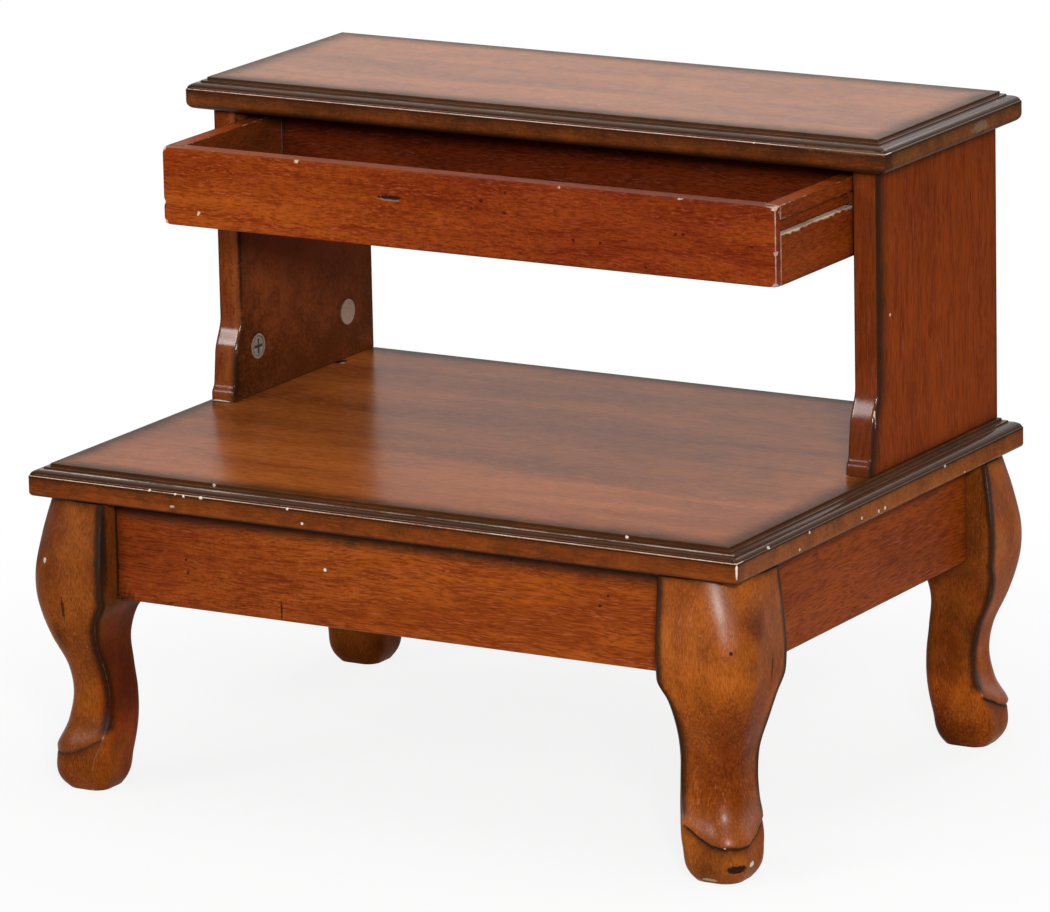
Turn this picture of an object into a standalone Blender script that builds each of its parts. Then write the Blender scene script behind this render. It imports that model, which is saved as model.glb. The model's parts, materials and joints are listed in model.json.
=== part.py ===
"""A bed step stool of stained wood: two moulded treads, scrolled side panels, a drawer and cabriole legs.

Metres, +Z up. The origin is on the floor under the middle of the lower tread. +X runs to the right
along the front, +Y to the back. The drawer slides out along -Y and is modelled partly open.
"""

import math

import bmesh
import bpy
import numpy as np
from mathutils import Vector

# Treads
TREAD_WIDTH = 0.456
LOWER_TREAD_DEPTH = 0.345
UPPER_TREAD_DEPTH = 0.169
LOWER_TREAD_HEIGHT = 0.1903
UPPER_TREAD_HEIGHT = 0.3808
TREAD_THICKNESS = 0.018

# Moulded edge of the treads, measured out from the flat top and down from it
NOSE_REACH = 0.0099
FIRST_FILLET_DROP = 0.0017
LEDGE_WIDTH = 0.0036
SECOND_FILLET_DROP = 0.0012
OVOLO_DROP = 0.0030
NOSE_ARRIS = 0.0006
UPPER_NOSE_ROUND = 0.0045
LOWER_NOSE_ROUND = 0.0022
CORNER_ROUND = 0.0020

# Side panels
PANEL_THICKNESS = 0.015
PANEL_INSET = 0.0118
PANEL_BACK_INSET = 0.0100
PANEL_FRONT_SETBACK = 0.0116
SCROLL_HEIGHT = 0.048
SCROLL_REACH = 0.0070
SCROLL_BELLY_HEIGHT = 0.026
SCROLL_BELLY_REACH = 0.0018
SCROLL_FOOT_HEIGHT = 0.010
SCROLL_FOOT_REACH = 0.0028
SCROLL_TOE_HEIGHT = 0.0045
PANEL_EASE = 0.0018

# Drawer
DRAWER_HEIGHT = 0.045
DRAWER_LENGTH = 0.1215
DRAWER_TOP_GAP = 0.0062
DRAWER_SIDE_GAP = 0.0032
DRAWER_FRONT_THICKNESS = 0.011
DRAWER_FRONT_LIP = 0.006
DRAWER_SIDE_THICKNESS = 0.010
DRAWER_BACK_THICKNESS = 0.010
DRAWER_BOTTOM_THICKNESS = 0.004
DRAWER_BOTTOM_RISE = 0.006
BOTTOM_GROOVE_DEPTH = 0.004
DRAWER_PULLED_OUT = 0.0805
DRAWER_EASE = 0.0008

# Drawer runners, in grooves of the drawer sides
RUNNER_HEIGHT = 0.0068
RUNNER_THICKNESS = 0.0075
RUNNER_GROOVE_DROP = 0.008
RUNNER_FRONT_SETBACK = 0.0035
RUNNER_PLAY = 0.0013

# Rail behind the drawer
RAIL_THICKNESS = 0.015
RAIL_HEIGHT = 0.052

# Apron frame
APRON_HEIGHT = 0.057
APRON_THICKNESS = 0.016
APRON_SETBACK = 0.0117
APRON_EASE = 0.0010

# Cabriole legs, sized from the leg's axis: towards the outer faces and towards the inner faces
LEG_AXIS_INSET = 0.024
LEG_TOP_OUTER = 0.0234
LEG_KNEE_OUTER = 0.0279
LEG_ANKLE_OUTER = 0.0124
LEG_TOE_OUTER = 0.0203
LEG_FOOT_OUTER = 0.0150
LEG_POST_INNER = 0.0263
LEG_CALF_INNER = 0.0186
LEG_ANKLE_INNER = 0.0208
LEG_HEEL_INNER = 0.0207
LEG_FOOT_INNER = 0.0126
LEG_KNEE_DROP = 0.047
LEG_ANKLE_HEIGHT = 0.0553
LEG_TOE_HEIGHT = 0.0195
LEG_FOOT_EASE = 0.003
LEG_LIP_HEIGHT = 0.0212
LEG_LIP_RISE = 0.0095
LEG_LIP_PROUD = 0.0012

# Corner blocks and fasteners
BLOCK_THICKNESS = 0.018
BLOCK_HEIGHT = 0.040
CAM_RADIUS = 0.0075
CAM_DEPTH = 0.0122
CAM_SETBACK = 0.0278
UPPER_CAM_SETBACK = 0.036
CAM_FRONT_INSET = 0.0175
CAM_BACK_INSET = 0.0305
CAM_SLOT_WIDTH = 0.0014
CAM_SLOT_LENGTH = 0.0086
CAM_SLOT_DEPTH = 0.0015
CAM_BOLT_THREAD_RADIUS = 0.0029
CAM_BOLT_THREAD_LENGTH = 0.011
CAM_BOLT_COLLAR_RADIUS = 0.0036
CAM_BOLT_SHANK_RADIUS = 0.0020
CAM_BOLT_HEAD_RADIUS = 0.0030
CAP_RADIUS = 0.0077
CAP_THICKNESS = 0.0010
DOWEL_RADIUS = 0.004
DOWEL_LENGTH = 0.026
SCREW_RADIUS = 0.0017
SCREW_HEAD_RADIUS = 0.0029
RUNNER_SCREW_LENGTH = 0.0177
LEG_BOLT_RADIUS = 0.0035
LEG_BOLT_GRIP = 0.026
LEG_BOLT_HEAD_RADIUS = 0.008
LEG_BOLT_HEAD_THICKNESS = 0.005

# Clearances
SEAT = 0.0003
DRAWER_STOP_GAP = 0.0005

# Smoothness of round forms
ROUND_STEPS = 20
ARC_STEPS = 4

# Derived places
TREAD_BACK = LOWER_TREAD_DEPTH / 2
UPPER_TREAD_FRONT = TREAD_BACK - UPPER_TREAD_DEPTH
UPPER_UNDERSIDE = UPPER_TREAD_HEIGHT - TREAD_THICKNESS
LOWER_UNDERSIDE = LOWER_TREAD_HEIGHT - TREAD_THICKNESS
PANEL_OUTER = TREAD_WIDTH / 2 - PANEL_INSET
PANEL_INNER = PANEL_OUTER - PANEL_THICKNESS
PANEL_MIDDLE = PANEL_OUTER - PANEL_THICKNESS / 2
PANEL_FRONT = UPPER_TREAD_FRONT + PANEL_FRONT_SETBACK
PANEL_BACK = TREAD_BACK - PANEL_BACK_INSET
PANEL_BOTTOM = LOWER_TREAD_HEIGHT + SEAT
PANEL_TOP = UPPER_UNDERSIDE - SEAT
DRAWER_HALF_WIDTH = PANEL_INNER - DRAWER_SIDE_GAP
DRAWER_BASE = UPPER_UNDERSIDE - DRAWER_TOP_GAP - DRAWER_HEIGHT
DRAWER_INNER_HALF = DRAWER_HALF_WIDTH - DRAWER_SIDE_THICKNESS
RUNNER_GROOVE_DEPTH = RUNNER_THICKNESS - DRAWER_SIDE_GAP + 2 * SEAT
RUNNER_TOP = DRAWER_BASE + DRAWER_HEIGHT - RUNNER_GROOVE_DROP - SEAT
RUNNER_FRONT = PANEL_FRONT + RUNNER_FRONT_SETBACK
DRAWER_CLOSED_FRONT = RUNNER_FRONT - DRAWER_FRONT_LIP - DRAWER_STOP_GAP
RAIL_FRONT = DRAWER_CLOSED_FRONT + DRAWER_LENGTH + DRAWER_STOP_GAP
RUNNER_BACK = RAIL_FRONT - SEAT
LEG_HEIGHT = LOWER_UNDERSIDE - SEAT
LEG_X = TREAD_WIDTH / 2 - LEG_AXIS_INSET
LEG_Y = LOWER_TREAD_DEPTH / 2 - LEG_AXIS_INSET
APRON_BOTTOM = LEG_HEIGHT - APRON_HEIGHT
APRON_INNER = LEG_AXIS_INSET - APRON_SETBACK - APRON_THICKNESS
CORNERS = {"front_left": (-1, -1), "front_right": (1, -1), "back_left": (-1, 1), "back_right": (1, 1)}
SIDES = {"left": -1, "right": 1}
CAM_PLACES = {"front": PANEL_FRONT + CAM_FRONT_INSET, "back": PANEL_BACK - CAM_BACK_INSET}


def clear_scene():
    """Removes every object, so that the model starts from an empty scene."""
    for obj in list(bpy.data.objects):
        bpy.data.objects.remove(obj, do_unlink=True)


def make_material(name, colour, roughness, metallic=0.0):
    """A Principled material with one colour."""
    material = bpy.data.materials.new(name)
    material.use_nodes = True
    shader = material.node_tree.nodes["Principled BSDF"]
    shader.inputs["Base Color"].default_value = (*colour, 1.0)
    shader.inputs["Roughness"].default_value = roughness
    shader.inputs["Metallic"].default_value = metallic
    return material


def make_object(name, points, faces, material, parent=None):
    """One closed mesh object, with its faces turned outwards."""
    mesh = bpy.data.meshes.new(name)
    mesh.from_pydata([tuple(point) for point in points], [], faces)
    shell = bmesh.new()
    shell.from_mesh(mesh)
    bmesh.ops.recalc_face_normals(shell, faces=shell.faces)
    shell.to_mesh(mesh)
    shell.free()
    obj = bpy.data.objects.new(name, mesh)
    bpy.context.scene.collection.objects.link(obj)
    if material:
        mesh.materials.append(material)
    obj.parent = parent
    return obj


def loft(rings):
    """Points and faces of a closed skin over rings of equal length, with a flat cap at each end."""
    count = len(rings[0])
    points = [tuple(point) for ring in rings for point in ring]
    faces = []
    for level in range(len(rings) - 1):
        for here in range(count):
            after = (here + 1) % count
            low = level * count
            faces.append((low + here, low + after, low + count + after, low + count + here))
    faces.append(tuple(reversed(range(count))))
    faces.append(tuple(range(len(points) - count, len(points))))
    return points, faces


def make_prism(name, outline, axis, start, end, material, parent=None):
    """An outline drawn in the plane across an axis (in the order of the other two), extruded along it."""
    rings = []
    for level in (start, end):
        ring = [tuple(np.insert(np.array(point, float), "xyz".index(axis), level)) for point in outline]
        rings.append(ring)
    return make_object(name, *loft(rings), material, parent)


def make_box(name, low, high, material, parent=None):
    """A plain box between two corners."""
    outline = [(low[0], low[1]), (high[0], low[1]), (high[0], high[1]), (low[0], high[1])]
    return make_prism(name, outline, "z", low[2], high[2], material, parent)


def make_turned(name, profile, base, direction, material, steps=ROUND_STEPS):
    """A solid turned about a line: the profile is (distance along the line, radius) from end to end."""
    turn = Vector(direction).to_track_quat("Z", "Y").to_matrix()
    angles = [2 * math.pi * step / steps for step in range(steps)]
    rings = []
    for along, radius in profile:
        circle = [Vector((radius * math.cos(a), radius * math.sin(a), along)) for a in angles]
        rings.append([turn @ point + Vector(base) for point in circle])
    return make_object(name, *loft(rings), material)


def cut_away(obj, cutters):
    """Cuts each cutter out of an object. A cutter is a helper that is not part of the model."""
    for cutter in cutters:
        cutter.hide_render = True
        cutter.display_type = "WIRE"
        boolean = obj.modifiers.new("cut_" + cutter.name, "BOOLEAN")
        boolean.operation = "DIFFERENCE"
        boolean.solver = "EXACT"
        boolean.object = cutter


def eased(low, high, ease):
    """A rectangle as an outline, with its four corners cut off by the ease."""
    (left, bottom), (right, top) = low, high
    return [
        (left + ease, bottom), (right - ease, bottom), (right, bottom + ease), (right, top - ease),
        (right - ease, top), (left + ease, top), (left, top - ease), (left, bottom + ease),
    ]


def arc(centre, radius, start, end, steps=ARC_STEPS):
    """Points of an arc between two angles in degrees."""
    angles = [math.radians(start + (end - start) * step / steps) for step in range(steps + 1)]
    return [(centre[0] + radius * math.cos(a), centre[1] + radius * math.sin(a)) for a in angles]


def tread_profile(nose_round):
    """The moulded edge from the flat top down to the underside, as (reach, drop) from the flat's edge."""
    ledge_drop = FIRST_FILLET_DROP
    ovolo_top = ledge_drop + SECOND_FILLET_DROP
    nose_top = ovolo_top + OVOLO_DROP
    face = NOSE_REACH
    ovolo_reach = face - NOSE_ARRIS - LEDGE_WIDTH
    ovolo = [
        (LEDGE_WIDTH + ovolo_reach * math.sin(angle), ovolo_top + OVOLO_DROP * (1 - math.cos(angle)))
        for angle in (math.pi / 2 * step / ARC_STEPS for step in range(ARC_STEPS + 1))
    ]
    bottom = arc((face - nose_round, TREAD_THICKNESS - nose_round), nose_round, 0, 90)
    ledge = [(0, 0), (0, ledge_drop), (LEDGE_WIDTH, ledge_drop)]
    return [*ledge, *ovolo, (face, nose_top + NOSE_ARRIS), *bottom]


def make_tread(name, depth, centre_y, top, nose_round, material):
    """A tread board: its edge moulding carried round a rectangle whose corners round towards the nose."""
    half_x = TREAD_WIDTH / 2 - NOSE_REACH
    half_y = depth / 2 - NOSE_REACH
    rings = []
    for reach, drop in tread_profile(nose_round):
        radius = SEAT + (CORNER_ROUND - SEAT) * reach / NOSE_REACH
        across = half_x + reach - radius
        along = half_y + reach - radius
        ring = []
        for turn, (sx, sy) in zip((0, 90, 180, 270), ((1, 1), (-1, 1), (-1, -1), (1, -1))):
            ring += arc((sx * across, sy * along + centre_y), radius, turn, turn + 90, 3)
        rings.append([(x, y, top - drop) for x, y in ring])
    return make_object(name, *loft(rings), material)


def ease_curve(start, end, steps):
    """An S-curve between two points of an outline, upright at both ends."""
    curve = []
    for step in range(steps + 1):
        share = (1 - math.cos(math.pi * step / steps)) / 2
        curve.append((start[0] + (end[0] - start[0]) * share, start[1] + (end[1] - start[1]) * step / steps))
    return curve


def scroll_outline():
    """The side panel's outline in Y and Z: straight back and front, with a swell and a step at its foot."""
    belly_front = PANEL_FRONT - SCROLL_REACH
    neck_front = belly_front - SCROLL_BELLY_REACH
    foot_front = neck_front - SCROLL_FOOT_REACH
    swell_start = (PANEL_FRONT, PANEL_BOTTOM + SCROLL_HEIGHT)
    swell_end = (belly_front, PANEL_BOTTOM + SCROLL_BELLY_HEIGHT)
    step_start = (neck_front, PANEL_BOTTOM + SCROLL_FOOT_HEIGHT)
    step_end = (foot_front, PANEL_BOTTOM + SCROLL_TOE_HEIGHT)
    ends = [
        (foot_front, PANEL_BOTTOM), (PANEL_BACK, PANEL_BOTTOM),
        (PANEL_BACK, PANEL_TOP), (PANEL_FRONT, PANEL_TOP),
    ]
    return ease_curve(swell_start, swell_end, 8) + ease_curve(step_start, step_end, 5) + ends


def inset_outline(outline, distance):
    """An outline in Y and Z with its front and back edges moved in, for the rounded arrises of a panel."""
    points = np.array(outline)
    before = points - np.roll(points, 1, axis=0)
    after = np.roll(points, -1, axis=0) - points
    before /= np.linalg.norm(before, axis=1)[:, None]
    after /= np.linalg.norm(after, axis=1)[:, None]
    tangent = before + after
    inward = np.where(tangent[:, 1] < 0, 1.0, -1.0)
    inward[points[:, 0] >= PANEL_BACK] = -1.0
    shifted = points.copy()
    shifted[:, 0] += inward * distance
    return [tuple(point) for point in shifted]


def make_panel(side, sign, material):
    """A side panel: its scrolled outline with rounded arrises, bored for its fittings."""
    rounding = [(0, 1), (0.29, 0.29), (1, 0)]
    stations = [(PANEL_EASE * out, PANEL_EASE * inset) for out, inset in rounding]
    stations += [(PANEL_THICKNESS - out, inset) for out, inset in reversed(stations)]
    rings = []
    for out, inset in stations:
        x = sign * (PANEL_OUTER - out)
        rings.append([(x, y, z) for y, z in inset_outline(scroll_outline(), inset)])
    panel = make_object(f"{side}_side_panel", *loft(rings), material)
    bore_depth = CAM_DEPTH + SEAT
    channel = CAM_BOLT_COLLAR_RADIUS + SEAT
    cutters = []
    for place, y in CAM_PLACES.items():
        for level, centre, edge in panel_cam_levels():
            label = f"{side}_{place}_{level}"
            start = (sign * (PANEL_INNER - CAM_DEPTH), y, centre)
            bore = [(0, CAM_RADIUS + SEAT), (CAM_DEPTH + bore_depth, CAM_RADIUS + SEAT)]
            cutters.append(make_turned(f"cam_bore_{label}", bore, start, (sign, 0, 0), None))
            low, high = sorted((edge + math.copysign(CAM_SETBACK, edge - centre), centre))
            bolt_bore = [(low, channel), (high, channel)]
            axis_foot = (sign * PANEL_MIDDLE, y, 0)
            cutters.append(make_turned(f"bolt_bore_{label}", bolt_bore, axis_foot, (0, 0, 1), None))
    middle = sum(CAM_PLACES.values()) / 2
    hole = DOWEL_RADIUS + SEAT
    dowel = [(-DOWEL_LENGTH, hole), (DOWEL_LENGTH / 2 + SEAT, hole)]
    dowel_seat = (sign * PANEL_MIDDLE, middle, PANEL_BOTTOM)
    cutters.append(make_turned(f"dowel_bore_{side}", dowel, dowel_seat, (0, 0, 1), None))
    rail_dowel = [(-PANEL_THICKNESS, hole), (PANEL_THICKNESS * 0.6 + SEAT, hole)]
    cutters.append(make_turned(f"rail_bore_{side}", rail_dowel, rail_dowel_seat(sign), (sign, 0, 0), None))
    for place in runner_screw_places():
        pilot_depth = RUNNER_SCREW_LENGTH - RUNNER_THICKNESS + SEAT
        pilot = [(-PANEL_THICKNESS, SCREW_RADIUS + SEAT), (pilot_depth, SCREW_RADIUS + SEAT)]
        start = (sign * PANEL_INNER, place, RUNNER_TOP - RUNNER_HEIGHT / 2)
        cutters.append(make_turned(f"pilot_{side}_{place:.3f}", pilot, start, (sign, 0, 0), None, 12))
    cut_away(panel, cutters)


def panel_cam_levels():
    """The two cam heights of a panel, each with the panel edge that its bolt comes through."""
    lower = PANEL_BOTTOM + CAM_SETBACK
    upper = PANEL_TOP - UPPER_CAM_SETBACK
    return [("lower", lower, PANEL_BOTTOM), ("upper", upper, PANEL_TOP)]


def rail_dowel_seat(sign):
    """Where the rail's dowel enters the panel's inner face."""
    return (sign * PANEL_INNER, RAIL_FRONT + RAIL_THICKNESS / 2, PANEL_TOP - RAIL_HEIGHT / 2)


def runner_screw_places():
    """The two screw places along a runner."""
    length = RUNNER_BACK - RUNNER_FRONT
    return [RUNNER_FRONT + length / 6, RUNNER_BACK - length / 6]


def make_cams(side, sign, metal, pale):
    """Cam locks in the panel's inner face, the bolts they hold, and a cover cap over the back lower one."""
    for place, y in CAM_PLACES.items():
        for level, centre, edge in panel_cam_levels():
            label = f"{side}_{place}_{level}"
            inner = sign * (PANEL_INNER + SEAT)
            drum = [(0, CAM_RADIUS), (CAM_DEPTH - SEAT, CAM_RADIUS)]
            cam = make_turned(f"{label}_cam", drum, (inner, y, centre), (sign, 0, 0), metal)
            near, far = sorted((inner - sign * CAM_SLOT_DEPTH, inner + sign * CAM_SLOT_DEPTH))
            short, long = CAM_SLOT_WIDTH / 2, CAM_SLOT_LENGTH / 2
            slots = []
            for turn, wide, tall in (("flat", long, short), ("upright", short, long)):
                slot_low = (near, y - wide, centre - tall)
                slot_high = (far, y + wide, centre + tall)
                slots.append(make_box(f"slot_{label}_{turn}", slot_low, slot_high, None))
            head = CAM_BOLT_HEAD_RADIUS + SEAT
            towards = math.copysign(1, edge - centre)
            low, high = sorted((centre - towards * head, centre + towards * 2 * CAM_RADIUS))
            middle = sign * PANEL_MIDDLE
            notch_low = (middle - head, y - head, low)
            notch_high = (middle + head, y + head, high)
            cut_away(cam, [*slots, make_box(f"notch_{label}", notch_low, notch_high, None)])
            make_cam_bolt(f"{label}_cam_bolt", (sign * PANEL_MIDDLE, y), centre, edge, metal)
            if level == "lower" and place == "back":
                face = sign * (PANEL_INNER - SEAT)
                ease = CAP_THICKNESS / 2
                cap = [(0, CAP_RADIUS - ease), (ease, CAP_RADIUS), (CAP_THICKNESS, CAP_RADIUS)]
                start = (face - sign * CAP_THICKNESS, y, centre)
                make_turned(f"{side}_cam_cap", cap, start, (sign, 0, 0), pale)


def make_cam_bolt(name, plan, centre, edge, metal):
    """A cam bolt: its thread in the board beyond the panel, a collar on it, its head inside the cam."""
    towards = math.copysign(1, centre - edge)
    length = abs(centre - edge)
    collar = 0.0015
    head = CAM_BOLT_HEAD_RADIUS
    profile = [
        (-CAM_BOLT_THREAD_LENGTH, CAM_BOLT_THREAD_RADIUS), (0, CAM_BOLT_THREAD_RADIUS),
        (0, CAM_BOLT_COLLAR_RADIUS), (collar, CAM_BOLT_COLLAR_RADIUS),
        (collar, CAM_BOLT_SHANK_RADIUS), (length - head, CAM_BOLT_SHANK_RADIUS),
        (length - head * 0.4, head), (length + head * 0.5, head),
    ]
    make_turned(name, profile, (*plan, edge), (0, 0, towards), metal, 14)


def make_treads(material):
    """Both tread boards, bored for the cam bolts, the panel dowels and the screws from the corner blocks."""
    lower = make_tread(
        "lower_step_board", LOWER_TREAD_DEPTH, 0, LOWER_TREAD_HEIGHT, LOWER_NOSE_ROUND, material)
    upper_centre = UPPER_TREAD_FRONT + UPPER_TREAD_DEPTH / 2
    upper = make_tread(
        "upper_step_board", UPPER_TREAD_DEPTH, upper_centre, UPPER_TREAD_HEIGHT, UPPER_NOSE_ROUND, material)
    thread = CAM_BOLT_THREAD_RADIUS + SEAT
    depth = CAM_BOLT_THREAD_LENGTH + SEAT
    hole = DOWEL_RADIUS + SEAT
    dowel_depth = DOWEL_LENGTH / 2
    lower_cutters, upper_cutters = [], []
    for side, sign in SIDES.items():
        for place, y in CAM_PLACES.items():
            x = sign * PANEL_MIDDLE
            label = f"{side}_{place}"
            bore = [(-depth, thread), (depth, thread)]
            lower_bore = make_turned(f"lower_bore_{label}", bore, (x, y, PANEL_BOTTOM), (0, 0, 1), None, 14)
            upper_bore = make_turned(f"upper_bore_{label}", bore, (x, y, PANEL_TOP), (0, 0, 1), None, 14)
            lower_cutters.append(lower_bore)
            upper_cutters.append(upper_bore)
        middle = sum(CAM_PLACES.values()) / 2
        dowel = [(-dowel_depth, hole), (dowel_depth, hole)]
        seat = (sign * PANEL_MIDDLE, middle, PANEL_BOTTOM)
        lower_cutters.append(make_turned(f"lower_dowel_bore_{side}", dowel, seat, (0, 0, 1), None))
    for corner, signs in CORNERS.items():
        x, y = block_middle(signs)
        start = (x, y, LOWER_UNDERSIDE)
        pilot = [(-TREAD_THICKNESS, SCREW_RADIUS + SEAT), (board_screw_bite() + SEAT, SCREW_RADIUS + SEAT)]
        lower_cutters.append(make_turned(f"board_pilot_{corner}", pilot, start, (0, 0, 1), None, 12))
    cut_away(lower, lower_cutters)
    cut_away(upper, upper_cutters)


def make_dowels(material):
    """Dowels that locate each panel on the lower board, and the rail between the panels."""
    ease = DOWEL_RADIUS / 5
    middle = sum(CAM_PLACES.values()) / 2
    for side, sign in SIDES.items():
        half = DOWEL_LENGTH / 2
        upright = [
            (-half + 2 * SEAT, DOWEL_RADIUS - ease), (ease - half + 2 * SEAT, DOWEL_RADIUS),
            (half - ease, DOWEL_RADIUS), (half, DOWEL_RADIUS - ease),
        ]
        seat = (sign * PANEL_MIDDLE, middle, PANEL_BOTTOM)
        make_turned(f"{side}_panel_dowel", upright, seat, (0, 0, 1), material, 14)
        bite = PANEL_THICKNESS * 0.6
        level = [
            (-half, DOWEL_RADIUS - ease), (ease - half, DOWEL_RADIUS),
            (bite - ease, DOWEL_RADIUS), (bite, DOWEL_RADIUS - ease),
        ]
        make_turned(f"{side}_rail_dowel", level, rail_dowel_seat(sign), (sign, 0, 0), material, 14)


def make_rail(material):
    """The rail behind the drawer. The closed drawer stops against it."""
    half = PANEL_INNER - SEAT
    low = (RAIL_FRONT, PANEL_TOP - RAIL_HEIGHT)
    high = (RAIL_FRONT + RAIL_THICKNESS, PANEL_TOP)
    rail = make_prism("back_rail", eased(low, high, DRAWER_EASE), "x", -half, half, material)
    cutters = []
    for side, sign in SIDES.items():
        bore = [(-DOWEL_LENGTH / 2 - SEAT, DOWEL_RADIUS + SEAT), (DOWEL_RADIUS, DOWEL_RADIUS + SEAT)]
        cutters.append(make_turned(f"rail_end_bore_{side}", bore, rail_dowel_seat(sign), (sign, 0, 0), None))
    cut_away(rail, cutters)


def screw_profiles(length):
    """Profiles of a countersunk screw of a given length, and of the hole that it goes through."""
    head_depth = SCREW_HEAD_RADIUS - SCREW_RADIUS
    screw = [
        (SEAT, SCREW_HEAD_RADIUS - 2 * SEAT), (head_depth + SEAT, SCREW_RADIUS),
        (length - 2 * SCREW_RADIUS, SCREW_RADIUS), (length - SEAT, SCREW_RADIUS / 4),
    ]
    sink = [
        (-SEAT, SCREW_HEAD_RADIUS + SEAT), (head_depth + SEAT, SCREW_RADIUS + SEAT),
        (length, SCREW_RADIUS + SEAT),
    ]
    return screw, sink


def make_runners(wood, metal):
    """Runners on the panels' inner faces, each held by two countersunk screws."""
    centre = RUNNER_TOP - RUNNER_HEIGHT / 2
    for side, sign in SIDES.items():
        seat = PANEL_INNER - SEAT
        near, far = sorted((sign * seat, sign * (PANEL_INNER - RUNNER_THICKNESS)))
        outline = eased((near, RUNNER_TOP - RUNNER_HEIGHT), (far, RUNNER_TOP), SEAT)
        runner = make_prism(f"{side}_drawer_runner", outline, "y", RUNNER_FRONT, RUNNER_BACK, wood)
        cutters = []
        for place, y in zip(("front", "back"), runner_screw_places()):
            start = (sign * (PANEL_INNER - RUNNER_THICKNESS), y, centre)
            screw, sink = screw_profiles(RUNNER_SCREW_LENGTH)
            make_turned(f"{side}_runner_{place}_screw", screw, start, (sign, 0, 0), metal, 12)
            cutters.append(make_turned(f"sink_{side}_{place}", sink, start, (sign, 0, 0), None, 12))
        cut_away(runner, cutters)


def drawer_side_outline(sign):
    """Section of a drawer side in X and Z: the runner's groove outside, the bottom's groove inside."""
    outer, inner = DRAWER_HALF_WIDTH, DRAWER_INNER_HALF
    groove_top = DRAWER_HEIGHT - RUNNER_GROOVE_DROP
    groove_bottom = groove_top - RUNNER_HEIGHT - RUNNER_PLAY - SEAT
    groove = outer - RUNNER_GROOVE_DEPTH
    bottom_low = DRAWER_BOTTOM_RISE
    bottom_high = bottom_low + DRAWER_BOTTOM_THICKNESS + 2 * SEAT
    slot = inner + BOTTOM_GROOVE_DEPTH
    ease = DRAWER_EASE
    top = DRAWER_HEIGHT
    outline = [
        (inner, 0), (outer - ease, 0), (outer, ease),
        (outer, groove_bottom), (groove, groove_bottom), (groove, groove_top), (outer, groove_top),
        (outer, top - ease), (outer - ease, top), (inner + ease, top), (inner, top - ease),
        (inner, bottom_high), (slot, bottom_high), (slot, bottom_low), (inner, bottom_low),
    ]
    return [(sign * x, z) for x, z in outline]


def make_drawer(front_wood, box_wood):
    """The drawer: a rabbeted front, grooved sides, a back and a bottom in grooves. It hangs on its slide."""
    slide = bpy.data.objects.new("drawer_slide", None)
    slide.location = (0, DRAWER_CLOSED_FRONT - DRAWER_PULLED_OUT, DRAWER_BASE)
    bpy.context.scene.collection.objects.link(slide)
    full, inner = DRAWER_HALF_WIDTH, DRAWER_INNER_HALF - SEAT
    lip, thick, ease = DRAWER_FRONT_LIP, DRAWER_FRONT_THICKNESS, DRAWER_EASE
    right_half = [(full - ease, 0), (full, ease), (full, lip), (inner, lip), (inner, thick)]
    plan = right_half + [(-x, y) for x, y in reversed(right_half)]
    front = make_prism("drawer_front", plan, "z", 0, DRAWER_HEIGHT, front_wood, slide)
    groove_low = (-full, thick - BOTTOM_GROOVE_DEPTH, DRAWER_BOTTOM_RISE)
    groove_high = (full, thick + lip, DRAWER_BOTTOM_RISE + DRAWER_BOTTOM_THICKNESS + 2 * SEAT)
    cut_away(front, [make_box("front_groove", groove_low, groove_high, None, slide)])
    for side, sign in SIDES.items():
        outline = drawer_side_outline(sign)
        make_prism(f"drawer_{side}_side", outline, "y", lip + SEAT, DRAWER_LENGTH, box_wood, slide)
    floor = DRAWER_BOTTOM_RISE + SEAT
    bottom_half = DRAWER_INNER_HALF + BOTTOM_GROOVE_DEPTH - SEAT
    bottom_front = thick - BOTTOM_GROOVE_DEPTH + SEAT
    bottom_low = (-bottom_half, bottom_front, floor)
    bottom_high = (bottom_half, DRAWER_LENGTH, floor + DRAWER_BOTTOM_THICKNESS)
    make_box("drawer_bottom", bottom_low, bottom_high, box_wood, slide)
    back_low = floor + DRAWER_BOTTOM_THICKNESS + SEAT
    back_front = DRAWER_LENGTH - DRAWER_BACK_THICKNESS
    back = eased((back_front, back_low), (DRAWER_LENGTH, DRAWER_HEIGHT), ease)
    make_prism("drawer_back", back, "x", -inner, inner, box_wood, slide)


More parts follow.
